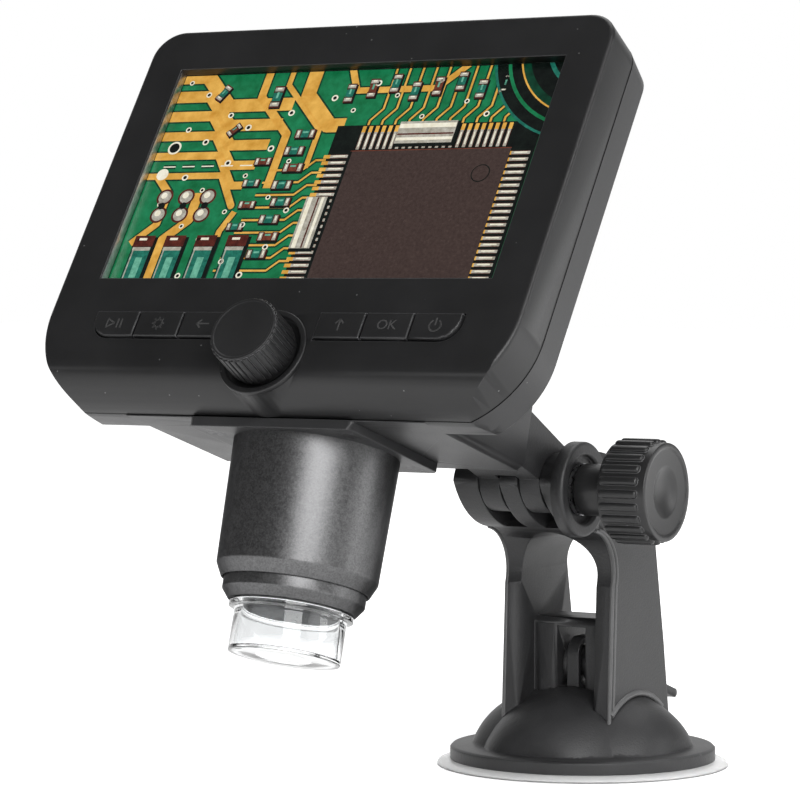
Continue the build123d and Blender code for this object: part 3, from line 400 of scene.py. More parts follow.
# ------------------------------------------------------------------------------ node graphs
class Graph:
    """A node tree with short ways to add and join nodes."""

    def __init__(self, tree: bpy.types.NodeTree) -> None:
        """Keeps the tree."""
        self.tree = tree

    def add(self, kind: str, settings: dict | None = None, feeds: dict | None = None) -> bpy.types.Node:
        """Adds a node.

        Args:
            kind: Blender's name of the node type.
            settings: Properties of the node.
            feeds: Values or sockets for its inputs, by name or number.

        Returns:
            The new node.
        """
        node = self.tree.nodes.new(kind)
        for key, value in (settings or {}).items():
            setattr(node, key, value)
        for key, value in (feeds or {}).items():
            if isinstance(value, bpy.types.NodeSocket):
                self.tree.links.new(value, node.inputs[key])
            else:
                node.inputs[key].default_value = value
        return node

    def math(self, operation: str, *values: object, clamp: bool = False) -> bpy.types.NodeSocket:
        """Result of one sum on numbers or sockets.

        Args:
            operation: Blender's name of the sum.
            *values: Numbers or sockets.
            clamp: Whether the result is kept from 0 to 1.

        Returns:
            The result's socket.
        """
        feeds = dict(enumerate(values))
        node = self.add("ShaderNodeMath", {"operation": operation, "use_clamp": clamp}, feeds)
        return node.outputs[0]

    def blend(
        self, factor: object, low: object, high: object, kind: str = "MIX"
    ) -> bpy.types.NodeSocket:
        """Colour between two colours."""
        settings = {"data_type": "RGBA", "blend_type": kind}
        return self.add("ShaderNodeMix", settings, {0: factor, 6: low, 7: high}).outputs[2]

    def spread(self, value: object, low: float, high: float) -> bpy.types.NodeSocket:
        """Number from 0 to 1 laid out between two values."""
        feeds = {"Value": value, "To Min": low, "To Max": high}
        return self.add("ShaderNodeMapRange", None, feeds).outputs[0]


def new_group(name: str, inputs: Sequence[tuple[str, str]], outputs: Sequence[tuple[str, str]]) -> Graph:
    """Starts a shader node group with named sockets.

    Args:
        name: Name of the group.
        inputs: Name and socket type of each input.
        outputs: Name and socket type of each output.

    Returns:
        The graph of the new group.
    """
    tree = bpy.data.node_groups.new(name, "ShaderNodeTree")
    for label, kind in inputs:
        tree.interface.new_socket(label, in_out="INPUT", socket_type=kind)
    for label, kind in outputs:
        tree.interface.new_socket(label, in_out="OUTPUT", socket_type=kind)
    return Graph(tree)


FLOAT, VECTOR = "NodeSocketFloat", "NodeSocketVector"


class Effects:
    """Effects that several finishes share, each a node group that is built once."""

    def __init__(self) -> None:
        """Builds the groups."""
        self.grain = self._grain()
        self.mottle = self._mottle()
        self.soft_edge = self._soft_edge()
        self.specks = self._specks()

    @staticmethod
    def _grain() -> bpy.types.NodeTree:
        """Fine texture of a moulded surface, as a height.

        Returns:
            The node group.
        """
        graph = new_group("mould_grain", [("Vector", VECTOR), ("Scale", FLOAT)], [("Height", FLOAT)])
        inner = graph.add("NodeGroupInput").outputs
        feeds = {"Vector": inner["Vector"], "Scale": inner["Scale"], "Detail": 2.0, "Roughness": 0.6}
        coarse = graph.add("ShaderNodeTexNoise", None, feeds).outputs["Fac"]
        feeds = {"Vector": inner["Vector"], "Scale": graph.math("MULTIPLY", inner["Scale"], 2.3)}
        pits = graph.add("ShaderNodeTexVoronoi", {"feature": "SMOOTH_F1"}, feeds).outputs["Distance"]
        height = graph.math("ADD", coarse, graph.math("MULTIPLY", pits, 0.35))
        graph.add("NodeGroupOutput", None, {"Height": height})
        return graph.tree

    @staticmethod
    def _mottle() -> bpy.types.NodeTree:
        """Broad, faint unevenness of a surface, from 0 to 1.

        Returns:
            The node group.
        """
        graph = new_group("mottling", [("Vector", VECTOR), ("Scale", FLOAT)], [("Patch", FLOAT)])
        inner = graph.add("NodeGroupInput").outputs
        feeds = {"Vector": inner["Vector"], "Scale": inner["Scale"], "Detail": 4.0, "Roughness": 0.62}
        noise = graph.add("ShaderNodeTexNoise", None, feeds).outputs["Fac"]
        patch = graph.math("SUBTRACT", graph.math("MULTIPLY", noise, 2.2), 0.6, clamp=True)
        graph.add("NodeGroupOutput", None, {"Patch": patch})
        return graph.tree

    @staticmethod
    def _soft_edge() -> bpy.types.NodeTree:
        """Rounded shading over sharp edges, and a mask of where the edges are.

        Returns:
            The node group.
        """
        outputs = [("Normal", VECTOR), ("Mask", FLOAT)]
        graph = new_group("soft_edge", [("Radius", FLOAT)], outputs)
        inner = graph.add("NodeGroupInput").outputs
        feeds = {"Radius": inner["Radius"]}
        bevel = graph.add("ShaderNodeBevel", {"samples": 6}, feeds).outputs["Normal"]
        plain = graph.add("ShaderNodeNewGeometry").outputs["Normal"]
        feeds = {0: bevel, 1: plain}
        facing = graph.add("ShaderNodeVectorMath", {"operation": "DOT_PRODUCT"}, feeds).outputs["Value"]
        turned = graph.math("MULTIPLY", graph.math("SUBTRACT", 1.0, facing), 3.5, clamp=True)
        graph.add("NodeGroupOutput", None, {"Normal": bevel, "Mask": turned})
        return graph.tree

    @staticmethod
    def _specks() -> bpy.types.NodeTree:
        """Scattered dust specks, 1 on a speck.

        Returns:
            The node group.
        """
        inputs = [("Vector", VECTOR), ("Scale", FLOAT), ("Size", FLOAT)]
        graph = new_group("dust_specks", inputs, [("Mask", FLOAT)])
        inner = graph.add("NodeGroupInput").outputs
        feeds = {"Vector": inner["Vector"], "Scale": inner["Scale"], "Randomness": 1.0}
        cells = graph.add("ShaderNodeTexVoronoi", None, feeds)
        near = graph.math("LESS_THAN", cells.outputs["Distance"], inner["Size"])
        rare = graph.add("ShaderNodeSeparateXYZ", None, {0: cells.outputs["Color"]}).outputs[0]
        mask = graph.math("MULTIPLY", near, graph.math("GREATER_THAN", rare, 0.8))
        graph.add("NodeGroupOutput", None, {"Mask": mask})
        return graph.tree


EFFECTS = Effects()


def new_material(name: str) -> tuple[bpy.types.Material, Graph, bpy.types.NodeSocket]:
    """Starts a material with nothing in it but its object coordinates.

    Args:
        name: Name of the material.

    Returns:
        The material, its graph and the coordinates' socket.
    """
    material = bpy.data.materials.new(name)
    material.use_nodes = True
    material.node_tree.nodes.clear()
    graph = Graph(material.node_tree)
    return material, graph, graph.add("ShaderNodeTexCoord").outputs["Object"]


def effect(graph: Graph, tree: bpy.types.NodeTree, feeds: dict) -> bpy.types.Node:
    """Places one shared effect in a material."""
    return graph.add("ShaderNodeGroup", {"node_tree": tree}, feeds)


def shade(graph: Graph, constants: dict, feeds: dict) -> None:
    """Ends a material with a Principled BSDF.

    Args:
        graph: Graph of the material.
        constants: Numbers and colours that are the same all over.
        feeds: Sockets with what changes over the surface.
    """
    shader = graph.add("ShaderNodeBsdfPrincipled", None, {**constants, **feeds})
    graph.add("ShaderNodeOutputMaterial", None, {"Surface": shader.outputs[0]})


def opaque(colour: Colour, factor: float = 1.0) -> tuple[float, float, float, float]:
    """Colour with full cover, brighter or darker by a factor."""
    return tuple(min(1.0, part * factor) for part in colour) + (1.0,)


# ------------------------------------------------------------------------------ finishes
@dataclass(frozen=True)
class PlasticFinish:
    """Moulded plastic with a fine grain, faint unevenness and softened edges, whose edges are lightened
    in colour as a painted highlight.
    """

    name: str
    colour: Colour
    roughness: float = 0.42
    roughness_spread: float = 0.08
    grain: float = 2600.0
    grain_height: float = 0.000010
    mottle: float = 0.25
    edge: float = 0.00035
    # factor by which the colour is lightened along edges: a painted highlight
    edge_painted_highlight: float = 2.4
    specular: float = 0.42
    speck: float = 0.0

    def build(self) -> bpy.types.Material:
        """Material of this finish.

        Returns:
            The new material.
        """
        material, graph, place = new_material(self.name)
        grain = effect(graph, EFFECTS.grain, {"Vector": place, "Scale": self.grain}).outputs["Height"]
        patch = effect(graph, EFFECTS.mottle, {"Vector": place, "Scale": 55.0}).outputs["Patch"]
        edge = effect(graph, EFFECTS.soft_edge, {"Radius": self.edge})
        dark = opaque(self.colour, 1.0 - self.mottle)
        light = opaque(self.colour, 1.0 + self.mottle)
        colour = graph.blend(patch, dark, light)
        # painted highlight: colour lightened towards a brighter copy along the sharp edges
        colour = graph.blend(edge.outputs["Mask"], colour, opaque(self.colour, self.edge_painted_highlight))
        if self.speck:
            feeds = {"Vector": place, "Scale": 420.0, "Size": 0.07}
            dust = effect(graph, EFFECTS.specks, feeds).outputs["Mask"]
            share = graph.math("MULTIPLY", dust, self.speck)
            colour = graph.blend(share, colour, (0.35, 0.35, 0.35, 1.0))
        rough = graph.spread(
            graph.math("MULTIPLY", graph.math("ADD", patch, grain), 0.5, clamp=True),
            self.roughness - self.roughness_spread,
            self.roughness + self.roughness_spread,
        )
        feeds = {"Height": grain, "Distance": self.grain_height, "Normal": edge.outputs["Normal"]}
        bump = graph.add("ShaderNodeBump", None, feeds)
        shade(
            graph,
            {"Specular IOR Level": self.specular},
            {"Base Color": colour, "Roughness": rough, "Normal": bump.outputs[0]},
        )
        return material


@dataclass(frozen=True)
class MetalFinish:
    """Plain or brushed metal with uneven sheen."""

    name: str
    colour: Colour
    roughness: float = 0.3
    brush: Colour = (900.0, 900.0, 900.0)

    def build(self) -> bpy.types.Material:
        """Material of this finish.

        Returns:
            The new material.
        """
        material, graph, place = new_material(self.name)
        feeds = {"Vector": place, "Scale": self.brush}
        stretched = graph.add("ShaderNodeMapping", None, feeds).outputs[0]
        lines = effect(graph, EFFECTS.mottle, {"Vector": stretched, "Scale": 1.0}).outputs["Patch"]
        colour = graph.blend(lines, opaque(self.colour, 0.8), opaque(self.colour, 1.1))
        rough = graph.spread(lines, self.roughness * 0.7, self.roughness * 1.3)
        bump = graph.add("ShaderNodeBump", None, {"Height": lines, "Distance": 0.000006})
        shade(
            graph,
            {"Metallic": 1.0},
            {"Base Color": colour, "Roughness": rough, "Normal": bump.outputs[0]},
        )
        return material


@dataclass(frozen=True)
class ClearFinish:
    """Clear plastic, vinyl or glass with faint flow marks."""

    name: str
    tint: Colour
    roughness: float = 0.03
    index: float = 1.49
    flow: float = 0.00002
    flow_scale: float = 90.0
    clarity: float = 1.0

    def build(self) -> bpy.types.Material:
        """Material of this finish.

        Returns:
            The new material.
        """
        material, graph, place = new_material(self.name)
        feeds = {"Vector": place, "Scale": self.flow_scale}
        patch = effect(graph, EFFECTS.mottle, feeds).outputs["Patch"]
        colour = graph.blend(patch, opaque(self.tint, 0.97), opaque(self.tint, 1.0))
        rough = graph.spread(patch, self.roughness * 0.6, self.roughness * 1.4)
        bump = graph.add("ShaderNodeBump", None, {"Height": patch, "Distance": self.flow})
        shade(
            graph,
            {"Transmission Weight": self.clarity, "IOR": self.index},
            {"Base Color": colour, "Roughness": rough, "Normal": bump.outputs[0]},
        )
        return material


@dataclass(frozen=True)
class PictureFinish:
    """One colour of the picture that the screen shows, lit from behind."""

    name: str
    colour: Colour
    shade_to: Colour
    scale: float = 500.0
    glow: float = 0.75

    def build(self) -> bpy.types.Material:
        """Material of this finish.

        Returns:
            The new material.
        """
        material, graph, place = new_material(self.name)
        patch = effect(graph, EFFECTS.mottle, {"Vector": place, "Scale": self.scale}).outputs["Patch"]
        colour = graph.blend(patch, opaque(self.shade_to), opaque(self.colour))
        unlit = graph.blend(patch, opaque(self.shade_to, 0.3), opaque(self.colour, 0.3))
        shade(
            graph,
            {"Emission Strength": self.glow, "Specular IOR Level": 0.35, "Roughness": 0.22},
            {"Base Color": unlit, "Emission Color": colour},
        )
        return material


@dataclass(frozen=True)
class SparkleFinish:
    """Satin metallic black coat with tiny flakes that catch the light, as on the lens barrel."""

    name: str
    colour: Colour
    roughness: float = 0.40
    flake: float = 2600.0

    def build(self) -> bpy.types.Material:
        """Material of this finish.

        Returns:
            The new material.
        """
        material, graph, place = new_material(self.name)
        grain = effect(graph, EFFECTS.grain, {"Vector": place, "Scale": self.flake}).outputs["Height"]
        flakes = graph.add("ShaderNodeTexVoronoi", None, {"Vector": place, "Scale": self.flake * 1.3})
        glint = graph.add("ShaderNodeSeparateXYZ", None, {0: flakes.outputs["Color"]}).outputs[0]
        patch = effect(graph, EFFECTS.mottle, {"Vector": place, "Scale": 700.0}).outputs["Patch"]
        mixed = graph.math("ADD", graph.math("MULTIPLY", glint, 0.6), graph.math("MULTIPLY", patch, 0.4))
        colour = graph.blend(mixed, opaque(self.colour, 0.7), opaque(self.colour, 1.3))
        rough = graph.spread(mixed, self.roughness * 0.85, self.roughness * 1.15)
        edge = effect(graph, EFFECTS.soft_edge, {"Radius": 0.00025})
        feeds = {"Height": grain, "Distance": 0.000009, "Normal": edge.outputs["Normal"]}
        bump = graph.add("ShaderNodeBump", None, feeds)
        shade(
            graph,
            {"Metallic": 1.0, "Specular Tint": (0.25, 0.25, 0.25, 1.0)},
            {"Base Color": colour, "Roughness": rough, "Normal": bump.outputs[0]},
        )
        return material


class Wardrobe:
    """Every finish of the object, built once."""

    def __init__(self) -> None:
        """Builds the materials."""
        black = (0.0105, 0.0105, 0.011)
        self.shell = PlasticFinish(
            "shell_satin", black, roughness=0.38, edge_painted_highlight=7.0, speck=0.4
        ).build()
        grey = (0.024, 0.024, 0.025)
        self.shell_rear = PlasticFinish(
            "shell_rear_satin", grey, roughness=0.44, edge_painted_highlight=3.5, speck=0.3
        ).build()
        self.seam_dark = PlasticFinish("seam_shadow", (0.002, 0.002, 0.002), specular=0.05).build()
        self.key = PlasticFinish(
            "key_satin", black, roughness=0.36, edge=0.00035, edge_painted_highlight=22.0
        ).build()
        self.mark = PlasticFinish(
            "key_mark", (0.045, 0.045, 0.045), roughness=0.45, edge=0.00005
        ).build()
        self.knob = PlasticFinish(
            "knob_satin", (0.014, 0.014, 0.0145), edge=0.00015, edge_painted_highlight=13.0
        ).build()
        self.thumb = PlasticFinish(
            "thumb_knob_satin", (0.016, 0.016, 0.0165), roughness=0.36, edge=0.00025, edge_painted_highlight=7.0
        ).build()
        self.stand = PlasticFinish(
            "stand_satin",
            (0.024, 0.024, 0.025),
            roughness=0.45,
            grain=1900.0,
            grain_height=0.00006,
            mottle=0.4,
        ).build()
        # beads and arch rims: a lighter copy of the stand plastic, a painted highlight
        self.bead = PlasticFinish("bead_painted_highlight", (0.095, 0.095, 0.096), roughness=0.36).build()
        self.barrel = SparkleFinish("barrel_coat", (0.125, 0.125, 0.127)).build()
        self.plate = PlasticFinish("plate_satin", (0.022, 0.022, 0.023), edge=0.0004).build()
        self.clear = ClearFinish("clear_acrylic", (0.97, 0.98, 0.985)).build()
        self.vinyl = ClearFinish(
            "clear_vinyl", (0.96, 0.96, 0.96), roughness=0.16, index=1.16, clarity=0.45
        ).build()
        self.liner = MetalFinish("bright_liner", (0.55, 0.55, 0.56), roughness=0.38).build()
        self.steel = MetalFinish("zinc_steel", (0.42, 0.42, 0.43)).build()
        self.dark_steel = MetalFinish("black_steel", (0.035, 0.035, 0.037), roughness=0.42).build()
        self.board = PlasticFinish("solder_mask", (0.01, 0.11, 0.04), roughness=0.3, mottle=0.4).build()
        self.chip = PlasticFinish("chip_resin", (0.02, 0.02, 0.02), roughness=0.6).build()
        self.foil = MetalFinish("battery_foil", (0.62, 0.63, 0.65), roughness=0.35).build()
        self.milk = PlasticFinish("light_guide", (0.75, 0.75, 0.74), roughness=0.3, mottle=0.05).build()
        self.lens = ClearFinish("coated_lens", (0.86, 0.90, 0.97), roughness=0.01, index=1.52).build()
        self.acetal = PlasticFinish(
            "white_acetal", (0.62, 0.61, 0.57), roughness=0.4, mottle=0.06
        ).build()
        self.panel = PlasticFinish("panel_dark", (0.01, 0.02, 0.015), roughness=0.15).build()


def dress(piece: bpy.types.Object, material: bpy.types.Material) -> None:
    """Gives one material to every slot of a piece.

    Args:
        piece: The piece.
        material: Its material.
    """
    if not piece.material_slots:
        piece.data.materials.append(material)
    for part in piece.material_slots:
        part.material = material


def place_piece(
    piece: bpy.types.Object, body: Enum, material: bpy.types.Material | None = None
) -> bpy.types.Object:
    """Dresses a finished piece and lets it ride on its body.

    Args:
        piece: The finished piece.
        body: Member of Body or Mark whose value names the body that carries it.
        material: Its material, or None where it has one.

    Returns:
        The same piece.
    """
    if material:
        dress(piece, material)
    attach(piece, body.value)
    log.info("%s rides on %s", piece.name, body.value)
    return piece


# ------------------------------------------------------------------------------ screen picture
class Tone(Enum):
    """Colours of the picture on the screen: a magnified circuit board."""

    MASK = PictureFinish("picture_mask", (0.012, 0.21, 0.085), (0.003, 0.11, 0.035), 330.0)
    SHADE = PictureFinish("picture_shade", (0.004, 0.06, 0.03), (0.001, 0.02, 0.01), 420.0)
    COPPER = PictureFinish("picture_copper", (0.80, 0.46, 0.10), (0.52, 0.25, 0.03), 300.0)
    PALE = PictureFinish("picture_pale", (0.88, 0.86, 0.74), (0.70, 0.64, 0.48), 700.0)
    SILVER = PictureFinish("picture_silver", (0.52, 0.50, 0.44), (0.24, 0.22, 0.17), 900.0)
    RESIN = PictureFinish("picture_resin", (0.062, 0.041, 0.036), (0.036, 0.022, 0.020), 1500.0)
    BROWN = PictureFinish("picture_brown", (0.20, 0.055, 0.03), (0.07, 0.014, 0.01), 800.0)
    TEAL = PictureFinish("picture_teal", (0.02, 0.20, 0.14), (0.004, 0.07, 0.05), 900.0)
    MINT = PictureFinish("picture_mint", (0.18, 0.50, 0.36), (0.07, 0.26, 0.18), 900.0)
    RUST = PictureFinish("picture_rust", (0.12, 0.022, 0.014), (0.03, 0.006, 0.005), 700.0)
    BLACK = PictureFinish("picture_black", (0.006, 0.010, 0.008), (0.001, 0.002, 0.002), 500.0)


@dataclass
class BoardPicture:
    """Flat picture of a circuit board, laid in thin layers behind the window."""

    grid: FaceGrid
    width: float = 96.4
    height: float = 54.9
    depth: float = 2.5
    layer: float = 0.015
    drawn: dict[Tone, list[bpy.types.Object]] = field(default_factory=dict)

    def _keep(self, tone: Tone, piece: bpy.types.Object) -> None:
        """Keeps a drawn shape with the others of its tone."""
        self.drawn.setdefault(tone, []).append(piece)

    def plate(self, tone: Tone, at: Place, size: Place, level: int, turn: float = 0.0) -> None:
        """Draws a filled rectangle.

        Args:
            tone: Its colour.
            at: Its centre.
            size: Its width and height.
            level: Its layer, counted up from the board.
            turn: Its turn in degrees.
        """
        place = (at[0], at[1], level * self.layer)
        turned = (0, 0, math.radians(turn))
        add = bpy.ops.mesh.primitive_plane_add
        piece = start(tone.name, add, size=1, location=place, rotation=turned)
        piece.scale = (size[0], size[1], 1)
        self._keep(tone, piece)

    def disc(self, tone: Tone, at: Place, radius: float, level: int, sides: int = 18) -> None:
        """Draws a filled disc.

        Args:
            tone: Its colour.
            at: Its centre.
            radius: Its radius.
            level: Its layer, counted up from the board.
            sides: Its corners.
        """
        place = (at[0], at[1], level * self.layer)
        options = {"vertices": sides, "radius": radius, "fill_type": "NGON", "location": place}
        self._keep(tone, start(tone.name, bpy.ops.mesh.primitive_circle_add, **options))

    def trace(self, tone: Tone, points: Sequence[Place], width: float, level: int) -> None:
        """Draws a conductor through corner points, with round corners and a dark outline.

        Args:
            tone: Its colour.
            points: Its ends and corners, in order.
            width: Its width.
            level: Its layer, counted up from the board.
        """
        layers = [(tone, width, level), (Tone.SHADE, width + 0.8, 1)]
        for shade_tone, wide, layer in layers:
            for (x, v), (to_x, to_v) in zip(points, points[1:]):
                run = math.hypot(to_x - x, to_v - v)
                turn = math.degrees(math.atan2(to_v - v, to_x - x))
                self.plate(shade_tone, ((x + to_x) / 2, (v + to_v) / 2), (run, wide), layer, turn)
            for point in points[1:-1]:
                self.disc(shade_tone, point, wide / 2, layer, 14)

    def via(self, at: Place, radius: float = 0.85) -> None:
        """Draws a plated hole: a pale ring round a dark middle."""
        self.disc(Tone.PALE, at, radius, 4)
        self.disc(Tone.BLACK, at, radius * 0.56, 5, 12)

    def chip_part(self, at: Place, turn: float, body: Tone, size: float = 1.0) -> None:
        """Draws a small part with a metal cap at each end of its body.

        Args:
            at: Its centre.
            turn: Its turn in degrees.
            body: Colour of its body.
            size: Its scale.
        """
        along = Vector((math.cos(math.radians(turn)), math.sin(math.radians(turn))))
        self.plate(Tone.BLACK, (at[0] + 0.3, at[1] - 0.35), (5.6 * size, 2.8 * size), 3, turn)
        self.plate(body, at, (4.2 * size, 2.1 * size), 4, turn)
        for side in (-1, 1):
            end = (at[0] + along.x * side * 1.9 * size, at[1] + along.y * side * 1.9 * size)
            self.plate(Tone.RUST, end, (1.7 * size, 2.5 * size), 4, turn)
            self.plate(Tone.SILVER, end, (0.95 * size, 2.1 * size), 5, turn)
            self.plate(Tone.PALE, (end[0], end[1] + 0.2), (0.4 * size, 1.1 * size), 6, turn)
        self.plate(Tone.MINT, (at[0], at[1] + 0.4 * size), (1.5 * size, 0.5 * size), 6, turn)

    def leads(self, corner: Place, step: Place, count: int, length: float) -> None:
        """Draws a row of chip leads.

        Args:
            corner: Centre of the first lead.
            step: Way from one lead to the next.
            count: How many leads there are.
            length: Length of a lead.
        """
        across = step[1] == 0
        turn = 90.0 if across else 0.0
        for number in range(count):
            at = (corner[0] + number * step[0], corner[1] + number * step[1])
            foot = (at[0], at[1] + length * 0.62) if across else (at[0] - length * 0.62, at[1])
            self.plate(Tone.COPPER, foot, (length * 0.5, 0.9), 4, turn)
            self.plate(Tone.RUST, at, (length * 0.95, 1.0), 5, turn)
            self.plate(Tone.SILVER, at, (length, 0.74), 6, turn)
            self.plate(Tone.PALE, (at[0], at[1] + 0.1), (length * 0.7, 0.3), 7, turn)

    def bar(self, at: Place, size: Place, turn: float = 0.0) -> None:
        """Draws a bright metal can with lines of light along it.

        Args:
            at: Its centre.
            size: Its length and width.
            turn: Its turn in degrees.
        """
        self.plate(Tone.BLACK, (at[0] + 0.4, at[1] - 0.5), (size[0] + 0.8, size[1] + 0.8), 8, turn)
        self.plate(Tone.SILVER, at, size, 9, turn)
        along = math.radians(turn + 90)
        streaks = ((0.3, 0.2, Tone.PALE), (-0.08, 0.07, Tone.RUST), (-0.3, 0.13, Tone.PALE))
        for share, wide, tone in streaks:
            shift = (
                at[0] + size[1] * share * math.cos(along),
                at[1] + size[1] * share * math.sin(along),
            )
            self.plate(tone, shift, (size[0] * 0.98, size[1] * wide), 10, turn)

    def main_chip(self) -> None:
        """Draws the large chip with its leads on three sides."""
        left, right, top = 2.0, 41.0, 6.2
        middle, low = (left + right) / 2, -36.0
        size = (right - left + 11, top - low + 8)
        self.plate(Tone.BLACK, (middle, (top + low) / 2 + 2.6), size, 3)
        self.plate(Tone.RESIN, (middle, (top + low) / 2), (right - left, top - low), 9)
        self.plate(Tone.BLACK, (left + 0.2, (top + low) / 2), (0.5, top - low), 10)
        self.plate(Tone.BROWN, (middle, top - 0.1), (right - left, 0.2), 10)
        self.disc(Tone.BLACK, (right - 5.4, top - 6.4), 2.2, 10, 28)
        self.disc(Tone.RESIN, (right - 5.4, top - 6.4), 1.95, 11, 28)
        self.leads((left + 1.4, top + 2.5), (1.62, 0.0), 23, 4.4)
        self.leads((left - 2.5, top - 1.4), (0.0, -1.62), 21, 4.4)
        self.leads((right + 2.5, top - 1.4), (0.0, -1.62), 21, 4.4)

    def copper_work(self) -> None:
        """Draws the broad conductors that fill the upper left of the board."""
        for number in range(6):
            shift = 5.3 * number
            points = [(-52, 27.0 - shift), (-42 + shift * 0.5, 27.0 - shift)]
            points += [(-34 + shift * 0.4, 19.0 - shift), (-17 - shift * 0.25, 19.0 - shift)]
            self.trace(Tone.COPPER, points, 3.4 - 0.35 * number, 2)
        self.trace(Tone.COPPER, [(-26, 30), (-26, 21), (-16, 11), (-16, -3)], 2.0, 2)
        self.trace(Tone.COPPER, [(-14, 30), (-14, 21), (-6, 13), (-2, 13)], 3.6, 2)
        self.trace(Tone.COPPER, [(-20, 30), (-20, 24), (-8, 12), (-8, 2)], 1.3, 2)
        self.trace(Tone.COPPER, [(-6, 30), (-2, 22), (18, 22), (24, 28)], 1.6, 2)
        self.trace(Tone.COPPER, [(-33, -4), (-33, -11), (-38, -16), (-38, -32)], 2.4, 2)
        self.trace(Tone.COPPER, [(-22, -9), (-24, -14), (-24, -30)], 1.5, 2)
        self.trace(Tone.COPPER, [(-46, 1), (-41, -4), (-41, -12), (-46, -17)], 1.8, 2)
        for number in range(9):
            v = 4.0 - 3.2 * number
            points = [(-2.6, v), (-6.0, v), (-8.5, v - 2.4), (-17.0 - 0.6 * number, v - 2.4)]
            self.trace(Tone.COPPER, points, 0.5, 2)
        for number in range(11):
            x = 4.0 + 3.3 * number
            self.trace(Tone.COPPER, [(x, 11.5), (x, 14.0), (x + 2.4, 17.0), (x + 2.4, 30)], 0.5, 2)
        for number in range(5):
            x = -45.0 + 5.0 * number
            self.trace(Tone.PALE, [(x, 3.0), (x + 3.2, 3.0)], 0.3, 3)

    def small_parts(self) -> None:
        """Draws the rows of small parts and the plated holes."""
        for number in range(9):
            body = Tone.BROWN if number % 3 == 1 else Tone.TEAL
            self.chip_part((-3.5 + 5.4 * number, 21.4 + 1.1 * (number % 3)), 90, body, 0.9)
        for number in range(8):
            body = Tone.BROWN if number % 4 == 2 else Tone.TEAL
            self.chip_part((-11.2 - 1.3 * (number % 2), 11.0 - 4.4 * number), 0, body, 0.92)
        for number in range(4):
            body = Tone.TEAL if number % 2 else Tone.BROWN
            self.chip_part((-19.5 - 1.0 * (number % 2), 4.0 - 5.6 * number), 0, body, 0.78)
        self.chip_part((-22.0, 21.0), 90, Tone.TEAL, 1.05)
        self.chip_part((-36.5, 22.5), 60, Tone.TEAL, 0.8)
        self.chip_part((-30.0, 12.5), 45, Tone.BROWN, 0.7)
        for number in range(4):
            x = -42.5 + 8.0 * number
            self.plate(Tone.BLACK, (x + 0.4, -22.0), (6.0, 13.2), 3)
            self.plate(Tone.TEAL, (x, -22.8), (4.7, 9.4), 4)
            self.plate(Tone.RUST, (x, -16.4), (5.2, 2.8), 5)
            self.plate(Tone.SILVER, (x, -18.4), (4.6, 0.9), 6)
            self.plate(Tone.PALE, (x - 0.4, -15.9), (2.0, 0.6), 6)
            self.plate(Tone.MINT, (x + 0.3, -23.2), (1.7, 5.2), 6)
            self.plate(Tone.SILVER, (x - 2.0, -22.8), (0.3, 8.6), 5)
        for number in range(3):
            x = -41.5 + 5.6 * number
            for v in (-5.0, -9.6):
                self.disc(Tone.RUST, (x, v), 2.1, 4, 22)
                self.disc(Tone.SILVER, (x, v), 1.6, 5, 22)
                self.disc(Tone.PALE, (x - 0.3, v + 0.4), 0.8, 6, 14)
            self.disc(Tone.BLACK, (x, -7.3), 0.9, 6, 14)
        self.disc(Tone.PALE, (-44.0, 8.0), 1.7, 4, 24)
        self.disc(Tone.BLACK, (-44.0, 8.0), 1.25, 5, 24)
        self.disc(Tone.PALE, (-44.5, 1.0), 1.5, 4, 24)
        for number in range(58):
            at = (-46 + (number * 13.7) % 92, 25.5 - (number * 9.1) % 51)
            if not (at[0] > -6 and at[1] < 14):
                self.via(at, 0.62 + 0.1 * (number % 3))

    def far_corner(self) -> None:
        """Draws the round part that reaches in at the upper right."""
        centre = (56.0, 34.0)
        rings = [(26.5, Tone.TEAL), (25.9, Tone.BLACK), (23.4, Tone.MASK), (22.6, Tone.BLACK)]
        rings += [(20.4, Tone.COPPER), (20.0, Tone.SHADE), (18.2, Tone.BLACK), (14.2, Tone.TEAL)]
        rings += [(13.2, Tone.BLACK)]
        for number, (radius, tone) in enumerate(rings):
            self.disc(tone, centre, radius, 5 + number, 72)

    def build(self) -> list[bpy.types.Object]:
        """Draws the whole picture.

        Returns:
            One piece for each tone, clipped to the window.
        """
        self.plate(Tone.MASK, (0, 0), (self.width, self.height), 0)
        self.copper_work()
        self.small_parts()
        self.main_chip()
        self.bar((19.0, 10.6), (14.0, 5.6))
        self.bar((-2.2, -12.0), (13.0, 5.2), 90)
        self.far_corner()
        sheets = []
        for tone, shapes in self.drawn.items():
            sheet = join(tone.value.name, shapes)
            bpy.ops.object.transform_apply(location=True, rotation=True, scale=True)
            self._clip(sheet)
            seat(sheet, self.grid.matrix(0, 0, -self.depth))
            sheets.append(place_piece(sheet, Body.HEAD, tone.value.build()))
        return sheets

    def _clip(self, sheet: bpy.types.Object) -> None:
        """Cuts away what lies past the window's four sides.

        Args:
            sheet: Sheet of one tone, not yet seated.
        """
        for normal, reach in (((1, 0, 0), self.width / 2), ((0, 1, 0), self.height / 2)):
            for side in (-1, 1):
                outward = Vector(normal) * side
                edit_all(sheet)
                bpy.ops.mesh.bisect(plane_co=outward * reach, plane_no=outward, clear_outer=True)
                close()


# ------------------------------------------------------------------------------ keys
class Mark(Enum):
    """Plain signs on the six keys."""

    PLAY = "key_play"
    MENU = "key_menu"
    LEFT = "key_left"
    UP = "key_up"
    OK = "key_ok"
    POWER = "key_power"


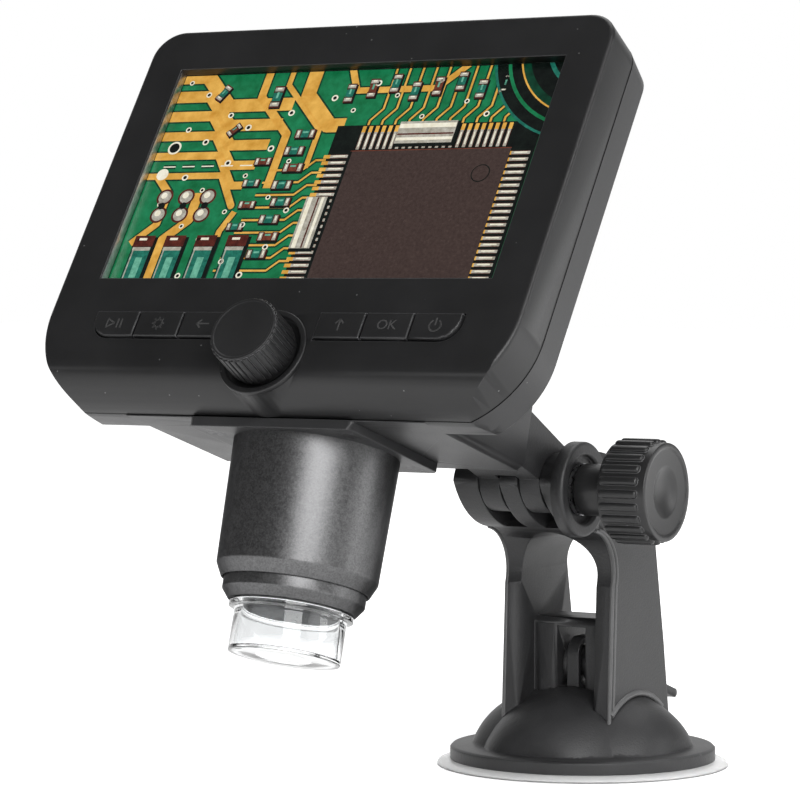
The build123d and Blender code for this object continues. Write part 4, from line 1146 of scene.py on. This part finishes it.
@dataclass
class KeyMarks:
    """Signs on the keys, each a thin raised print."""

    grid: FaceGrid
    proud: float = 0.8
    print_height: float = 0.03
    stroke: float = 0.34

    def _stroke(self, a: Place, b: Place) -> bpy.types.Object:
        """Straight stroke between two places.

        Args:
            a: One end.
            b: The other end.

        Returns:
            The stroke.
        """
        run = math.hypot(b[0] - a[0], b[1] - a[1])
        middle = ((a[0] + b[0]) / 2, (a[1] + b[1]) / 2, 0)
        turn = (0, 0, math.atan2(b[1] - a[1], b[0] - a[0]))
        piece = start("stroke", bpy.ops.mesh.primitive_plane_add, size=1, location=middle, rotation=turn)
        piece.scale = (run + self.stroke * 0.6, self.stroke, 1)
        return piece

    def _arc(self, radius: float, first: float, last: float, steps: int) -> list[bpy.types.Object]:
        """Arc of short strokes between two angles in degrees.

        Args:
            radius: Its radius.
            first: Angle where it starts.
            last: Angle where it ends.
            steps: How many strokes it has.

        Returns:
            The strokes.
        """
        angles = [math.radians(first + (last - first) * step / steps) for step in range(steps + 1)]
        points = [(radius * math.cos(angle), radius * math.sin(angle)) for angle in angles]
        return [self._stroke(a, b) for a, b in zip(points, points[1:])]

    def _shapes(self, mark: Mark) -> list[bpy.types.Object]:
        """Strokes of one sign, round its own centre.

        Args:
            mark: Which sign.

        Returns:
            The flat shapes that make it up.
        """
        if mark is Mark.PLAY:
            corners = ((-1.8, -1.1), (-1.8, 1.1), (0.0, 0.0), (-1.8, -1.1))
            triangle = [self._stroke(a, b) for a, b in zip(corners, corners[1:])]
            return triangle + [self._stroke((x, -1.0), (x, 1.0)) for x in (0.9, 1.8)]
        if mark is Mark.MENU:
            teeth = []
            for number in range(8):
                angle = math.radians(45 * number)
                near = (1.0 * math.cos(angle), 1.0 * math.sin(angle))
                teeth.append(self._stroke(near, (near[0] * 1.45, near[1] * 1.45)))
            return teeth + self._arc(0.95, 0, 360, 12)
        if mark is Mark.LEFT:
            tip = (-1.5, 0.0)
            return [self._stroke(tip, end) for end in ((1.5, 0), (-0.5, 0.9), (-0.5, -0.9))]
        if mark is Mark.UP:
            tip = (0.0, 1.3)
            return [self._stroke(tip, end) for end in ((0, -1.3), (0.9, 0.4), (-0.9, 0.4))]
        if mark is Mark.POWER:
            return self._arc(1.35, 125, 415, 14) + [self._stroke((0, 0.2), (0, 1.7))]
        text = start("letters", bpy.ops.object.text_add)
        text.data.body = "OK"
        text.data.size = 3.2
        text.data.align_x = "CENTER"
        text.data.align_y = "CENTER"
        bpy.ops.object.convert(target="MESH")
        return [bpy.context.object]

    def build(self, finishes: Wardrobe) -> list[bpy.types.Object]:
        """Builds every sign and lets it ride on its key.

        Args:
            finishes: The object's finishes.

        Returns:
            The six signs.
        """
        signs = []
        row = KEY_ROW_ABOVE_KNOB - KNOB_BELOW_WINDOW
        for mark in Mark:
            low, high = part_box(mark.value)
            x = ((low + high) / 2 - self.grid.origin).x / MM
            sign = join(f"sign_{mark.name.lower()}", self._shapes(mark))
            bpy.ops.object.transform_apply(location=True, rotation=True, scale=True)
            edit_all(sign)
            bpy.ops.mesh.extrude_region_move(TRANSFORM_OT_translate={"value": (0, 0, self.print_height)})
            close()
            point_outwards(sign)
            seat(sign, self.grid.matrix(x, row, self.proud))
            signs.append(place_piece(sign, mark, finishes.mark))
        log.info("%d signs on the keys", len(signs))
        return signs


# ------------------------------------------------------------------------------ grips
@dataclass
class RibbedGrip:
    """Round grip with rounded ribs along it, modelled from its inner end at z 0, in millimetres."""

    name: str
    radius: float
    length: float
    ribs: int
    rib: tuple[float, float, float]
    rib_start: float
    rib_round: float
    edge: float
    rim: float
    face_sunk: float
    dish_radius: float = 0.0
    dish_depth: float = 0.0
    sides: int = 96

    def build(self) -> bpy.types.Object:
        """Models the grip.

        Returns:
            The grip, not yet seated.
        """
        return join(self.name, [self._core(), *self._ribs()])

    def _core(self) -> bpy.types.Object:
        """Core with its sunk face and the dish in it.

        Returns:
            The core.
        """
        core = cylinder("grip_core", self.radius - self.rib[1], 0.0, self.length, self.sides)
        pick_end(core, 1)
        bpy.ops.mesh.inset(thickness=self.rim, depth=0)
        bpy.ops.mesh.inset(thickness=self.face_sunk, depth=-self.face_sunk)
        if self.dish_radius:
            edge = self.radius - self.rib[1] - self.rim - self.face_sunk
            bpy.ops.mesh.inset(thickness=edge - self.dish_radius, depth=0)
            bpy.ops.mesh.inset(thickness=self.dish_depth, depth=-self.dish_depth * 0.45)
            bpy.ops.mesh.inset(thickness=self.dish_depth * 1.6, depth=-self.dish_depth * 0.55)
        close()
        round_edges(core, self.edge, 3, 22.0)
        return core

    def _ribs(self) -> list[bpy.types.Object]:
        """One rounded rib and its copies round the core.

        Returns:
            All the ribs.
        """
        width, height, length = self.rib
        place = (0, self.radius - height, self.rib_start + length / 2)
        first = block("grip_rib", place, (width, 2 * height, length))
        round_edges(first, self.rib_round, 3)
        ribs = [first]
        for _ in range(self.ribs - 1):
            only(ribs[-1])
            bpy.ops.object.duplicate()
            turn = 2 * math.pi / self.ribs
            bpy.ops.transform.rotate(value=turn, orient_axis="Z", center_override=(0, 0, 0))
            bpy.ops.object.transform_apply(location=True, rotation=True)
            ribs.append(bpy.context.object)
        return ribs


# ------------------------------------------------------------------------------ clear cap
@dataclass
class ClearCap:
    """Clear cap under the barrel: a cup with a hole in its floor and a flange, in millimetres."""

    radius: float = 11.8
    flange_radius: float = 13.1
    flange_top: float = -35.9
    flange: float = 1.1
    top: float = -32.6
    bottom: float = -46.2
    wall: float = 1.3
    hole: float = 5.9
    sides: int = 128

    def build(self) -> bpy.types.Object:
        """Models the cap round the barrel's axis.

        Returns:
            The cap, not yet seated.
        """
        cap = cylinder("clear_cap_cup", self.radius, self.bottom, self.top, self.sides)
        pick_end(cap, 1)
        bpy.ops.mesh.delete(type="FACE")
        close()
        pick_end(cap, -1)
        bpy.ops.mesh.inset(thickness=self.radius - self.hole, depth=0)
        bpy.ops.mesh.delete(type="FACE")
        for level in (self.flange_top, self.flange_top - self.flange):
            bpy.ops.mesh.select_all(action="SELECT")
            bpy.ops.mesh.bisect(plane_co=(0, 0, level), plane_no=(0, 0, 1))
        close()
        thick = cap.modifiers.new("wall", "SOLIDIFY")
        thick.thickness = self.wall
        thick.offset = -1
        finish_modifiers(cap)
        self._flange(cap)
        round_edges(cap, 0.22, 3, 40.0)
        return cap

    def _flange(self, cap: bpy.types.Object) -> None:
        """Draws the flange out of the wall.

        Args:
            cap: The cap, with its wall.
        """
        low, high = self.flange_top - self.flange, self.flange_top

        def on_band(centre: Vector, normal: Vector) -> bool:
            """Whether a face lies on the outside of the wall at the flange."""
            return low < centre.z < high and normal.xy.dot(centre.xy) > 0.5 * centre.xy.length

        pick_faces(cap, on_band)
        bpy.ops.mesh.extrude_region()
        share = self.flange_radius / self.radius
        bpy.ops.transform.resize(value=(share, share, 1), center_override=(0, 0, 0))
        close()


@dataclass
class TurnedShell:
    """Turned part round the barrel's axis, given as radii at heights from top to bottom, in mm."""

    name: str
    steps: tuple[Place, ...]
    lip: float
    bore_depth: float
    edge: float
    sides: int = 144

    def build(self) -> bpy.types.Object:
        """Models the shell with its bore open below.

        Returns:
            The shell, not yet seated.
        """
        (radius, top), (next_radius, bottom), *rest = self.steps
        shell = cylinder(self.name, radius, bottom, top, self.sides)
        pick_end(shell, -1)
        self._scale(next_radius / radius)
        for level_radius, level in rest:
            bpy.ops.mesh.extrude_region_move(TRANSFORM_OT_translate={"value": (0, 0, level - bottom)})
            self._scale(level_radius / next_radius)
            next_radius, bottom = level_radius, level
        bpy.ops.mesh.inset(thickness=self.lip, depth=0)
        bpy.ops.mesh.extrude_region_move(TRANSFORM_OT_translate={"value": (0, 0, self.bore_depth)})
        bpy.ops.mesh.delete(type="FACE")
        close()
        pick_end(shell, 1)
        bpy.ops.mesh.delete(type="FACE")
        close()
        round_edges(shell, self.edge, 3, 15.0)
        return shell

    @staticmethod
    def _scale(share: float) -> None:
        """Scales the selected end about the axis."""
        bpy.ops.transform.resize(value=(share, share, 1), center_override=(0, 0, 0))


def barrel_matrix() -> Matrix:
    """Matrix from millimetres round the barrel's axis, with z 0 at its top, to the frame.

    Returns:
        The matrix.
    """
    slide = joint_named("lens_slide")
    up = Vector(slide["axis"]).normalized()
    low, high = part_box("lens_barrel")
    x = (low.x + high.x) / 2
    start_up = Vector((x, BARREL_TOP[0] * MM, BARREL_TOP[1] * MM))
    return axle(start_up, up, up.cross(Vector((1, 0, 0))))


# ------------------------------------------------------------------------------ head
@dataclass
class Head:
    """Slab, lens block, window, keys, barrel and what hangs on them."""

    grid: FaceGrid
    finishes: Wardrobe
    parting: float = 10.3
    seam_width: float = 0.34
    seam_proud: float = 0.02
    liner_wall: float = 0.16
    liner_front: float = 0.35
    liner_back: float = 2.2
    window: Place = (96.5, 55.0)
    knob_proud: float = 8.7
    knob_sunk: float = 1.2
    knob_radius: float = 7.7
    collar: Place = (8.75, 10.05)
    collar_proud: float = 0.25
    collar_sunk: float = 1.0
    barrel_steps: tuple[Place, ...] = ((17.6, -2.0), (17.0, -28.3), (15.6, -31.2))
    nose_steps: tuple[Place, ...] = ((15.0, -30.6), (15.0, -33.5), (13.4, -35.6))

    def build(self) -> None:
        """Builds and dresses the head."""
        self.seam()
        self.shells()
        self.window_liner()
        self.keys()
        self.focus_knob()
        self.barrel()
        self.inner_parts()

    def shells(self) -> None:
        """Front and rear shell, the arm and the flange plate."""
        place_piece(skin("front_shell", "slab_front"), Body.HEAD, self.finishes.shell)
        place_piece(skin("rear_shell", "slab_rear"), Body.HEAD, self.finishes.shell_rear)
        place_piece(skin("hinge_arm", "tilt_arm"), Body.HEAD, self.finishes.stand)
        place_piece(skin("flange_plate", "barrel_plate"), Body.HEAD, self.finishes.plate)

    def seam(self) -> None:
        """Shadow line where the two shells meet, taken from the front shell's own outline."""
        band = merged_copy("front_shell", "shell_seam")
        inward = -self.grid.out
        for depth, side in ((self.parting - self.seam_width, -1), (self.parting - 0.01, 1)):
            place = self.grid.origin + inward * depth * MM
            edit_all(band)
            bpy.ops.mesh.bisect(plane_co=place, plane_no=inward * side, clear_outer=True)
            close()
        centre = self.grid.origin - self.grid.up * 10 * MM

        def faces_in(middle: Vector, normal: Vector) -> bool:
            """Whether a face belongs to the inner wall or to a cut end."""
            return normal.dot(middle - centre) < 0.001 or abs(normal.dot(inward)) > 0.5

        pick_faces(band, faces_in)
        bpy.ops.mesh.delete(type="FACE")
        bpy.ops.mesh.select_all(action="SELECT")
        bpy.ops.transform.shrink_fatten(value=self.seam_proud * MM)
        close()
        place_piece(band, Body.HEAD, self.finishes.seam_dark)

    def window_liner(self) -> None:
        """Bright edge of the display's frame, seen inside the window."""
        thickness = self.liner_back - self.liner_front
        rails = []
        for side in (-1, 1):
            place = (side * (self.window[0] - self.liner_wall) / 2, 0, thickness / 2)
            rail = block("liner_rail", place, (self.liner_wall, self.window[1], thickness))
            round_edges(rail, self.liner_wall * 0.3, 2)
            rails.append(rail)
        liner = join("window_liner", rails)
        seat(liner, self.grid.matrix(0, 0, -self.liner_back))
        place_piece(liner, Body.HEAD, self.finishes.liner)

    def keys(self) -> None:
        """Dresses the six keys and prints their signs."""
        for mark in Mark:
            key = skin(mark.value, f"cap_{mark.name.lower()}")
            place_piece(key, mark, self.finishes.key)
        KeyMarks(self.grid).build(self.finishes)

    def focus_knob(self) -> None:
        """Ribbed focus knob in place of its plain CAD form."""
        length = self.knob_proud + self.knob_sunk
        grip = RibbedGrip(
            "focus_grip",
            radius=self.knob_radius,
            length=length,
            ribs=32,
            rib=(0.98, 0.42, length - 1.8),
            rib_start=1.3,
            rib_round=0.18,
            edge=0.3,
            rim=0.5,
            face_sunk=0.15,
        ).build()
        self._collar()
        seat(grip, self.grid.matrix(0, -KNOB_BELOW_WINDOW, -self.knob_sunk))
        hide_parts("focus_knob")
        place_piece(grip, Body.FOCUS, self.finishes.knob)

    def _collar(self) -> None:
        """Rounded collar on the face round the knob's recess."""
        inner, outer = self.collar
        height = self.collar_proud + self.collar_sunk
        collar = cylinder("knob_collar", outer, 0.0, height, 96)
        for side in (1, -1):
            pick_end(collar, side)
            bpy.ops.mesh.inset(thickness=outer - inner, depth=0)
            close()
        pick_faces(collar, lambda centre, normal: centre.xy.length < 0.01)
        bpy.ops.mesh.bridge_edge_loops()
        close()
        point_outwards(collar)
        round_edges(collar, 0.22, 3)
        seat(collar, self.grid.matrix(0, -KNOB_BELOW_WINDOW, -self.collar_sunk))
        place_piece(collar, Body.HEAD, self.finishes.shell)

    def barrel(self) -> None:
        """Barrel, nose ring and clear cap."""
        barrel = TurnedShell("barrel_shell", self.barrel_steps, lip=0.45, bore_depth=0.8, edge=0.22)
        ring = TurnedShell("nose_ring_shell", self.nose_steps, lip=1.5, bore_depth=3.3, edge=0.2)
        for turned, node in ((barrel, "lens_barrel"), (ring, "nose_ring")):
            shell = turned.build()
            seat(shell, barrel_matrix())
            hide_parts(node)
            place_piece(shell, Body.HEAD, self.finishes.barrel)
        cap = ClearCap().build()
        seat(cap, barrel_matrix())
        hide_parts("nose_cap")
        place_piece(cap, Body.CAP, self.finishes.clear)
        lens = skin("objective_lens", "objective_glass")
        place_piece(lens, Body.CARRIAGE, self.finishes.lens)

    def inner_parts(self) -> None:
        """Dresses what lies inside the head."""
        wear = {
            "screen_frame": self.finishes.liner,
            "screen_panel": self.finishes.panel,
            "backlight": self.finishes.milk,
            "main_board": self.finishes.board,
            "key_board": self.finishes.board,
            "sensor_board": self.finishes.board,
            "lamp_board": self.finishes.milk,
            "board_chips": self.finishes.chip,
            "image_sensor": self.finishes.chip,
            "dimmer_pot": self.finishes.chip,
            "key_switches": self.finishes.steel,
            "usb_socket": self.finishes.steel,
            "card_socket": self.finishes.steel,
            "battery_cell": self.finishes.foil,
            "lamps": self.finishes.milk,
            "dimmer_wheel": self.finishes.knob,
            "lens_tube": self.finishes.barrel,
            "shell_screws": self.finishes.dark_steel,
            "plate_screws": self.finishes.dark_steel,
            "arm_screws": self.finishes.dark_steel,
            "focus_shaft": self.finishes.steel,
            "focus_pinion": self.finishes.acetal,
            "shaft_clip": self.finishes.steel,
        }
        for node, material in wear.items():
            dress(frame["nodes"][node], material)


# ------------------------------------------------------------------------------ stand
@dataclass
class Stand:
    """Two-legged stand, its clamp, lever, dome and suction cup."""

    finishes: Wardrobe
    half_width: float = 13.3
    bead_radius: float = 0.5
    bead_rows: tuple[tuple[int, float, str], ...] = (
        (-1, 0.35, "leg_bead_left"),
        (-1, 1.75, "leg_bead_left_rear"),
        (1, 0.35, "leg_bead_right"),
        (1, 1.75, "leg_bead_right_rear"),
    )
    front_low: Place = (-12.56, 7.0)
    front_high: Place = (-11.0, 40.0)
    neck_middle: Place = (-13.1, 49.7)
    neck_end: Place = (-18.9, 52.8)
    lobe_axis: float = -3.13
    lobe_round: float = 18.57
    grip_inner: float = 22.9
    grip_outer: float = 33.9
    grip_radius: float = 11.1
    neck_radius: float = 5.5
    neck_start: float = 14.6
    neck_bore: float = 2.6
    arch_radius: float = 0.75
    arch_half_angle: float = 37.0

    def build(self) -> None:
        """Builds and dresses the stand."""
        place_piece(skin("stand_yoke", "stand_legs"), Body.STAND, self.finishes.stand)
        dome = skin("base_dome", "dome_shell", 28.0)
        place_piece(dome, Body.STAND, self.finishes.stand)
        place_piece(skin("suction_cup", "vinyl_cup", 60.0), Body.STAND, self.finishes.vinyl)
        place_piece(skin("lock_lever", "lever_shell"), Body.LEVER, self.finishes.stand)
        self.beads()
        self.arches()
        self.thumb_knob()
        for node in ("hex_nut", "hinge_bolt", "thrust_washer", "lever_pin"):
            dress(frame["nodes"][node], self.finishes.steel)
        dress(frame["nodes"]["cup_stem"], self.finishes.stand)

    def _neck_centre(self) -> Vector:
        """Centre of the round under the clamp, in the stand's side view.

        Returns:
            The centre, in millimetres.
        """
        (ay, az), (by, bz), (cy, cz) = self.front_high, self.neck_middle, self.neck_end
        spread = 2 * (ay * (bz - cz) + by * (cz - az) + cy * (az - bz))
        first, second, third = ay * ay + az * az, by * by + bz * bz, cy * cy + cz * cz
        y = (first * (bz - cz) + second * (cz - az) + third * (az - bz)) / spread
        z = (first * (cy - by) + second * (ay - cy) + third * (by - ay)) / spread
        return Vector((0, y, z))

    @staticmethod
    def _bar_end(
        name: str, radius: float, sides: int, place: Sequence[float], lean: float
    ) -> bpy.types.Object:
        """Adds the filled round end of a bar and opens it, ready to be swept.

        Args:
            name: Name of the bar.
            radius: Its radius.
            sides: Faces round it.
            place: Centre of the end.
            lean: Turn of the end about x, in radians.

        Returns:
            The bar's end, open for editing with all of it selected.
        """
        add = bpy.ops.mesh.primitive_circle_add
        options = {"vertices": sides, "radius": radius, "fill_type": "NGON"}
        end = start(name, add, location=place, rotation=(lean, 0, 0), **options)
        bpy.ops.object.transform_apply(location=True, rotation=True)
        edit_all(end)
        return end

    def _finish_bar(self, bar: bpy.types.Object) -> None:
        """Closes a swept bar and puts it on the stand in the light bead colour, a painted highlight.

        Args:
            bar: The bar, still open for editing.
        """
        close()
        point_outwards(bar)
        seat(bar, Matrix.Scale(MM, 4))
        smooth(bar, SMOOTH_ANGLE)
        place_piece(bar, Body.STAND, self.finishes.bead)

    def beads(self) -> None:
        """Bead up the outer front edge of each leg and round the neck, drawn lighter than the stand as a
        painted highlight.
        """
        low, high = Vector((0, *self.front_low)), Vector((0, *self.front_high))
        centre = self._neck_centre()
        first = (high - centre).yz
        last = (Vector((0, *self.neck_end)) - centre).yz
        sweep = last.angle_signed(first)
        for side, set_back, name in self.bead_rows:
            x = side * (self.half_width - self.bead_radius * 0.6)
            turn = math.atan2(high.z - low.z, high.y - low.y)
            place = (x, low.y + set_back, low.z)
            bead = self._bar_end(name, self.bead_radius, 14, place, turn - math.pi / 2)
            along = high - low
            bpy.ops.mesh.extrude_region_move(TRANSFORM_OT_translate={"value": along})
            pivot = (x, centre.y + set_back, centre.z)
            bpy.ops.mesh.spin(steps=14, angle=-sweep, center=pivot, axis=(1, 0, 0))
            self._finish_bar(bead)

    def arches(self) -> None:
        """Arched rim where each leg stands on its side lobe, drawn lighter than the stand as a painted
        highlight.
        """
        reach = self.lobe_round + self.arch_radius
        for side, name in ((-1, "arch_rim_left"), (1, "arch_rim_right")):
            x = side * (self.half_width - 0.1)
            begin = math.radians(90 - self.arch_half_angle)
            place = (x, reach * math.cos(begin), self.lobe_axis + reach * math.sin(begin))
            rim = self._bar_end(name, self.arch_radius, 12, place, begin)
            sweep = -math.radians(2 * self.arch_half_angle)
            pivot = (x, 0, self.lobe_axis)
            bpy.ops.mesh.spin(steps=24, angle=sweep, center=pivot, axis=(1, 0, 0))
            self._finish_bar(rim)

    def thumb_knob(self) -> None:
        """Scalloped thumb knob with its neck and the dish in its end."""
        pivot = Vector(joint_named("head_tilt")["pos_m"])
        sideways = Vector((1, 0, 0))
        grip = RibbedGrip(
            "thumb_grip",
            radius=self.grip_radius,
            length=self.grip_outer - self.grip_inner,
            ribs=24,
            rib=(1.75, 0.75, 8.9),
            rib_start=0.5,
            rib_round=0.6,
            edge=0.55,
            rim=1.1,
            face_sunk=0.3,
            dish_radius=5.4,
            dish_depth=1.1,
        ).build()
        seat(grip, axle(pivot + sideways * self.grip_inner * MM, sideways, Vector((0, 0, 1))))
        length = self.grip_inner - self.neck_start
        neck = cylinder("thumb_neck", self.neck_radius, 0.0, length, 64)
        pick_end(neck, -1)
        bpy.ops.mesh.inset(thickness=self.neck_radius - self.neck_bore, depth=0)
        bpy.ops.mesh.delete(type="FACE")
        close()
        round_edges(neck, 0.4, 3)
        seat(neck, axle(pivot + sideways * self.neck_start * MM, sideways, Vector((0, 0, 1))))
        thumb = join("thumb_grip", [grip, neck])
        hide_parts("thumb_knob")
        place_piece(thumb, Body.CLAMP, self.finishes.thumb)


# ------------------------------------------------------------------------------ studio
@dataclass(frozen=True)
class Lamp:
    """One soft lamp: where it stands and its width and height in metres, and its watts."""

    name: str
    place: tuple[float, float, float]
    size: Place
    power: float

    def add(self, aim: Vector) -> None:
        """Adds the lamp to the scene.

        Args:
            aim: What it points at.
        """
        place = Vector(self.place)
        bpy.ops.object.light_add(type="AREA", location=place)
        lamp = bpy.context.object
        lamp.name = self.name
        lamp.data.shape = "RECTANGLE"
        lamp.data.size, lamp.data.size_y = self.size
        lamp.data.energy = self.power
        lamp.rotation_euler = (place - aim).to_track_quat("Z", "Y").to_euler()


@dataclass
class Studio:
    """Camera, floor, lamps and surroundings."""

    focal: float = 157.5
    azimuth: float = 31.53
    elevation: float = 1.97
    distance: float = 791.6
    aim: tuple[float, float, float] = (-47.07, 0.0, 79.02)
    floor_side: float = 12.0
    floor_lift: Place = (0.5, 0.98)
    floor_dark_reach: float = 0.07
    floor_rise: float = 4.0
    backdrop_start: float = 0.55
    backdrop_rise: float = 3.0
    ambient: float = 0.16
    lamp_aim: tuple[float, float, float] = (-0.03, -0.05, 0.07)
    lamps: tuple[Lamp, ...] = (
        Lamp("front_lamp", (0.72, -0.84, 0.58), (0.80, 0.62), 12.5),
        Lamp("right_lamp", (0.95, 0.42, 0.30), (0.4, 0.5), 2.6),
        Lamp("edge_lamp", (0.85, -0.28, 0.86), (0.14, 0.4), 2.6),
        Lamp("top_lamp", (-0.1, 0.45, 1.1), (0.8, 0.8), 5.0),
    )

    def build(self) -> None:
        """Sets up the studio."""
        self._camera()
        self._world()
        self._floor()
        self._lamps()
        bpy.context.scene.view_settings.view_transform = "Standard"

    def direction(self) -> Vector:
        """Direction from the object to the camera.

        Returns:
            The direction, of length 1.
        """
        azimuth, elevation = math.radians(self.azimuth), math.radians(self.elevation)
        level = math.cos(elevation)
        return Vector((math.sin(azimuth) * level, -math.cos(azimuth) * level, math.sin(elevation)))

    def _camera(self) -> None:
        """Camera at the matching angle."""
        target = Vector(self.aim) * MM
        place = target + self.direction() * self.distance * MM
        bpy.ops.object.camera_add(location=place)
        camera = bpy.context.object
        camera.name = "camera"
        camera.rotation_euler = self.direction().to_track_quat("Z", "Y").to_euler()
        camera.data.lens = self.focal
        camera.data.sensor_width = 36.0
        camera.data.clip_start = 0.01
        bpy.context.scene.camera = camera

    @staticmethod
    def _rays(graph: Graph) -> bpy.types.NodeSocketCollection:
        """Outputs that say what kind of ray meets the background."""
        return graph.add("ShaderNodeLightPath").outputs

    def _world(self) -> None:
        """Soft light from all round, and a white background behind the object."""
        world = bpy.data.worlds.new("studio")
        bpy.context.scene.world = world
        world.use_nodes = True
        world.node_tree.nodes.clear()
        graph = Graph(world.node_tree)
        way = graph.add("ShaderNodeTexCoord").outputs["Generated"]
        feeds = {0: way, 1: tuple(-part for part in self.direction())}
        behind = graph.add("ShaderNodeVectorMath", {"operation": "DOT_PRODUCT"}, feeds).outputs["Value"]
        inside = graph.math("SUBTRACT", behind, self.backdrop_start)
        backdrop = graph.math("MULTIPLY", inside, self.backdrop_rise, clamp=True)
        rays = self._rays(graph)
        mirrored = graph.math("MULTIPLY", rays["Is Glossy Ray"], backdrop)
        straight = graph.math("MAXIMUM", rays["Is Camera Ray"], rays["Is Transmission Ray"])
        seen = graph.math("MAXIMUM", mirrored, straight)
        soft = graph.add("ShaderNodeBackground", None, {"Color": (1, 1, 1, 1), "Strength": self.ambient})
        white = graph.add("ShaderNodeBackground", None, {"Color": (1, 1, 1, 1), "Strength": 1.0})
        mix = graph.add("ShaderNodeMixShader", None, {0: seen, 1: soft.outputs[0], 2: white.outputs[0]})
        graph.add("ShaderNodeOutputWorld", None, {"Surface": mix.outputs[0]})

    def _floor(self) -> None:
        """Plain pale floor that keeps the object's shadow and brightens away from it."""
        add = bpy.ops.mesh.primitive_plane_add
        floor = start("floor", add, size=self.floor_side, location=(0, 0, -0.0001))
        bpy.ops.object.transform_apply(location=True)
        material, graph, place = new_material("floor_paper")
        patch = effect(graph, EFFECTS.mottle, {"Vector": place, "Scale": 3.0}).outputs["Patch"]
        colour = graph.blend(patch, (0.90, 0.90, 0.90, 1), (0.92, 0.92, 0.92, 1))
        away = graph.add("ShaderNodeVectorMath", {"operation": "LENGTH"}, {0: place}).outputs["Value"]
        past = graph.math("SUBTRACT", away, self.floor_dark_reach)
        rise = graph.math("MULTIPLY", past, self.floor_rise, clamp=True)
        rays = self._rays(graph)
        seen = graph.math("MAXIMUM", rays["Is Glossy Ray"], rays["Is Transmission Ray"])
        seen = graph.math("MAXIMUM", seen, rays["Is Camera Ray"])
        glow = graph.math("MULTIPLY", seen, graph.spread(rise, *self.floor_lift))
        paper = graph.add("ShaderNodeBsdfDiffuse", None, {"Color": colour})
        lift = graph.add("ShaderNodeEmission", None, {"Color": (1, 1, 1, 1), "Strength": glow})
        both = graph.add("ShaderNodeAddShader", None, {0: paper.outputs[0], 1: lift.outputs[0]})
        graph.add("ShaderNodeOutputMaterial", None, {"Surface": both.outputs[0]})
        dress(floor, material)

    def _lamps(self) -> None:
        """Broad key lamp in front, two on the right and one overhead."""
        for lamp in self.lamps:
            lamp.add(Vector(self.lamp_aim))


def main() -> None:
    """Builds the object's looks and the studio."""
    logging.basicConfig(level=logging.INFO, format="%(name)s: %(message)s")
    finishes = Wardrobe()
    grid = face_grid()
    Head(grid, finishes).build()
    BoardPicture(grid).build()
    Stand(finishes).build()
    Studio().build()


if __name__ == "__main__":
    main()
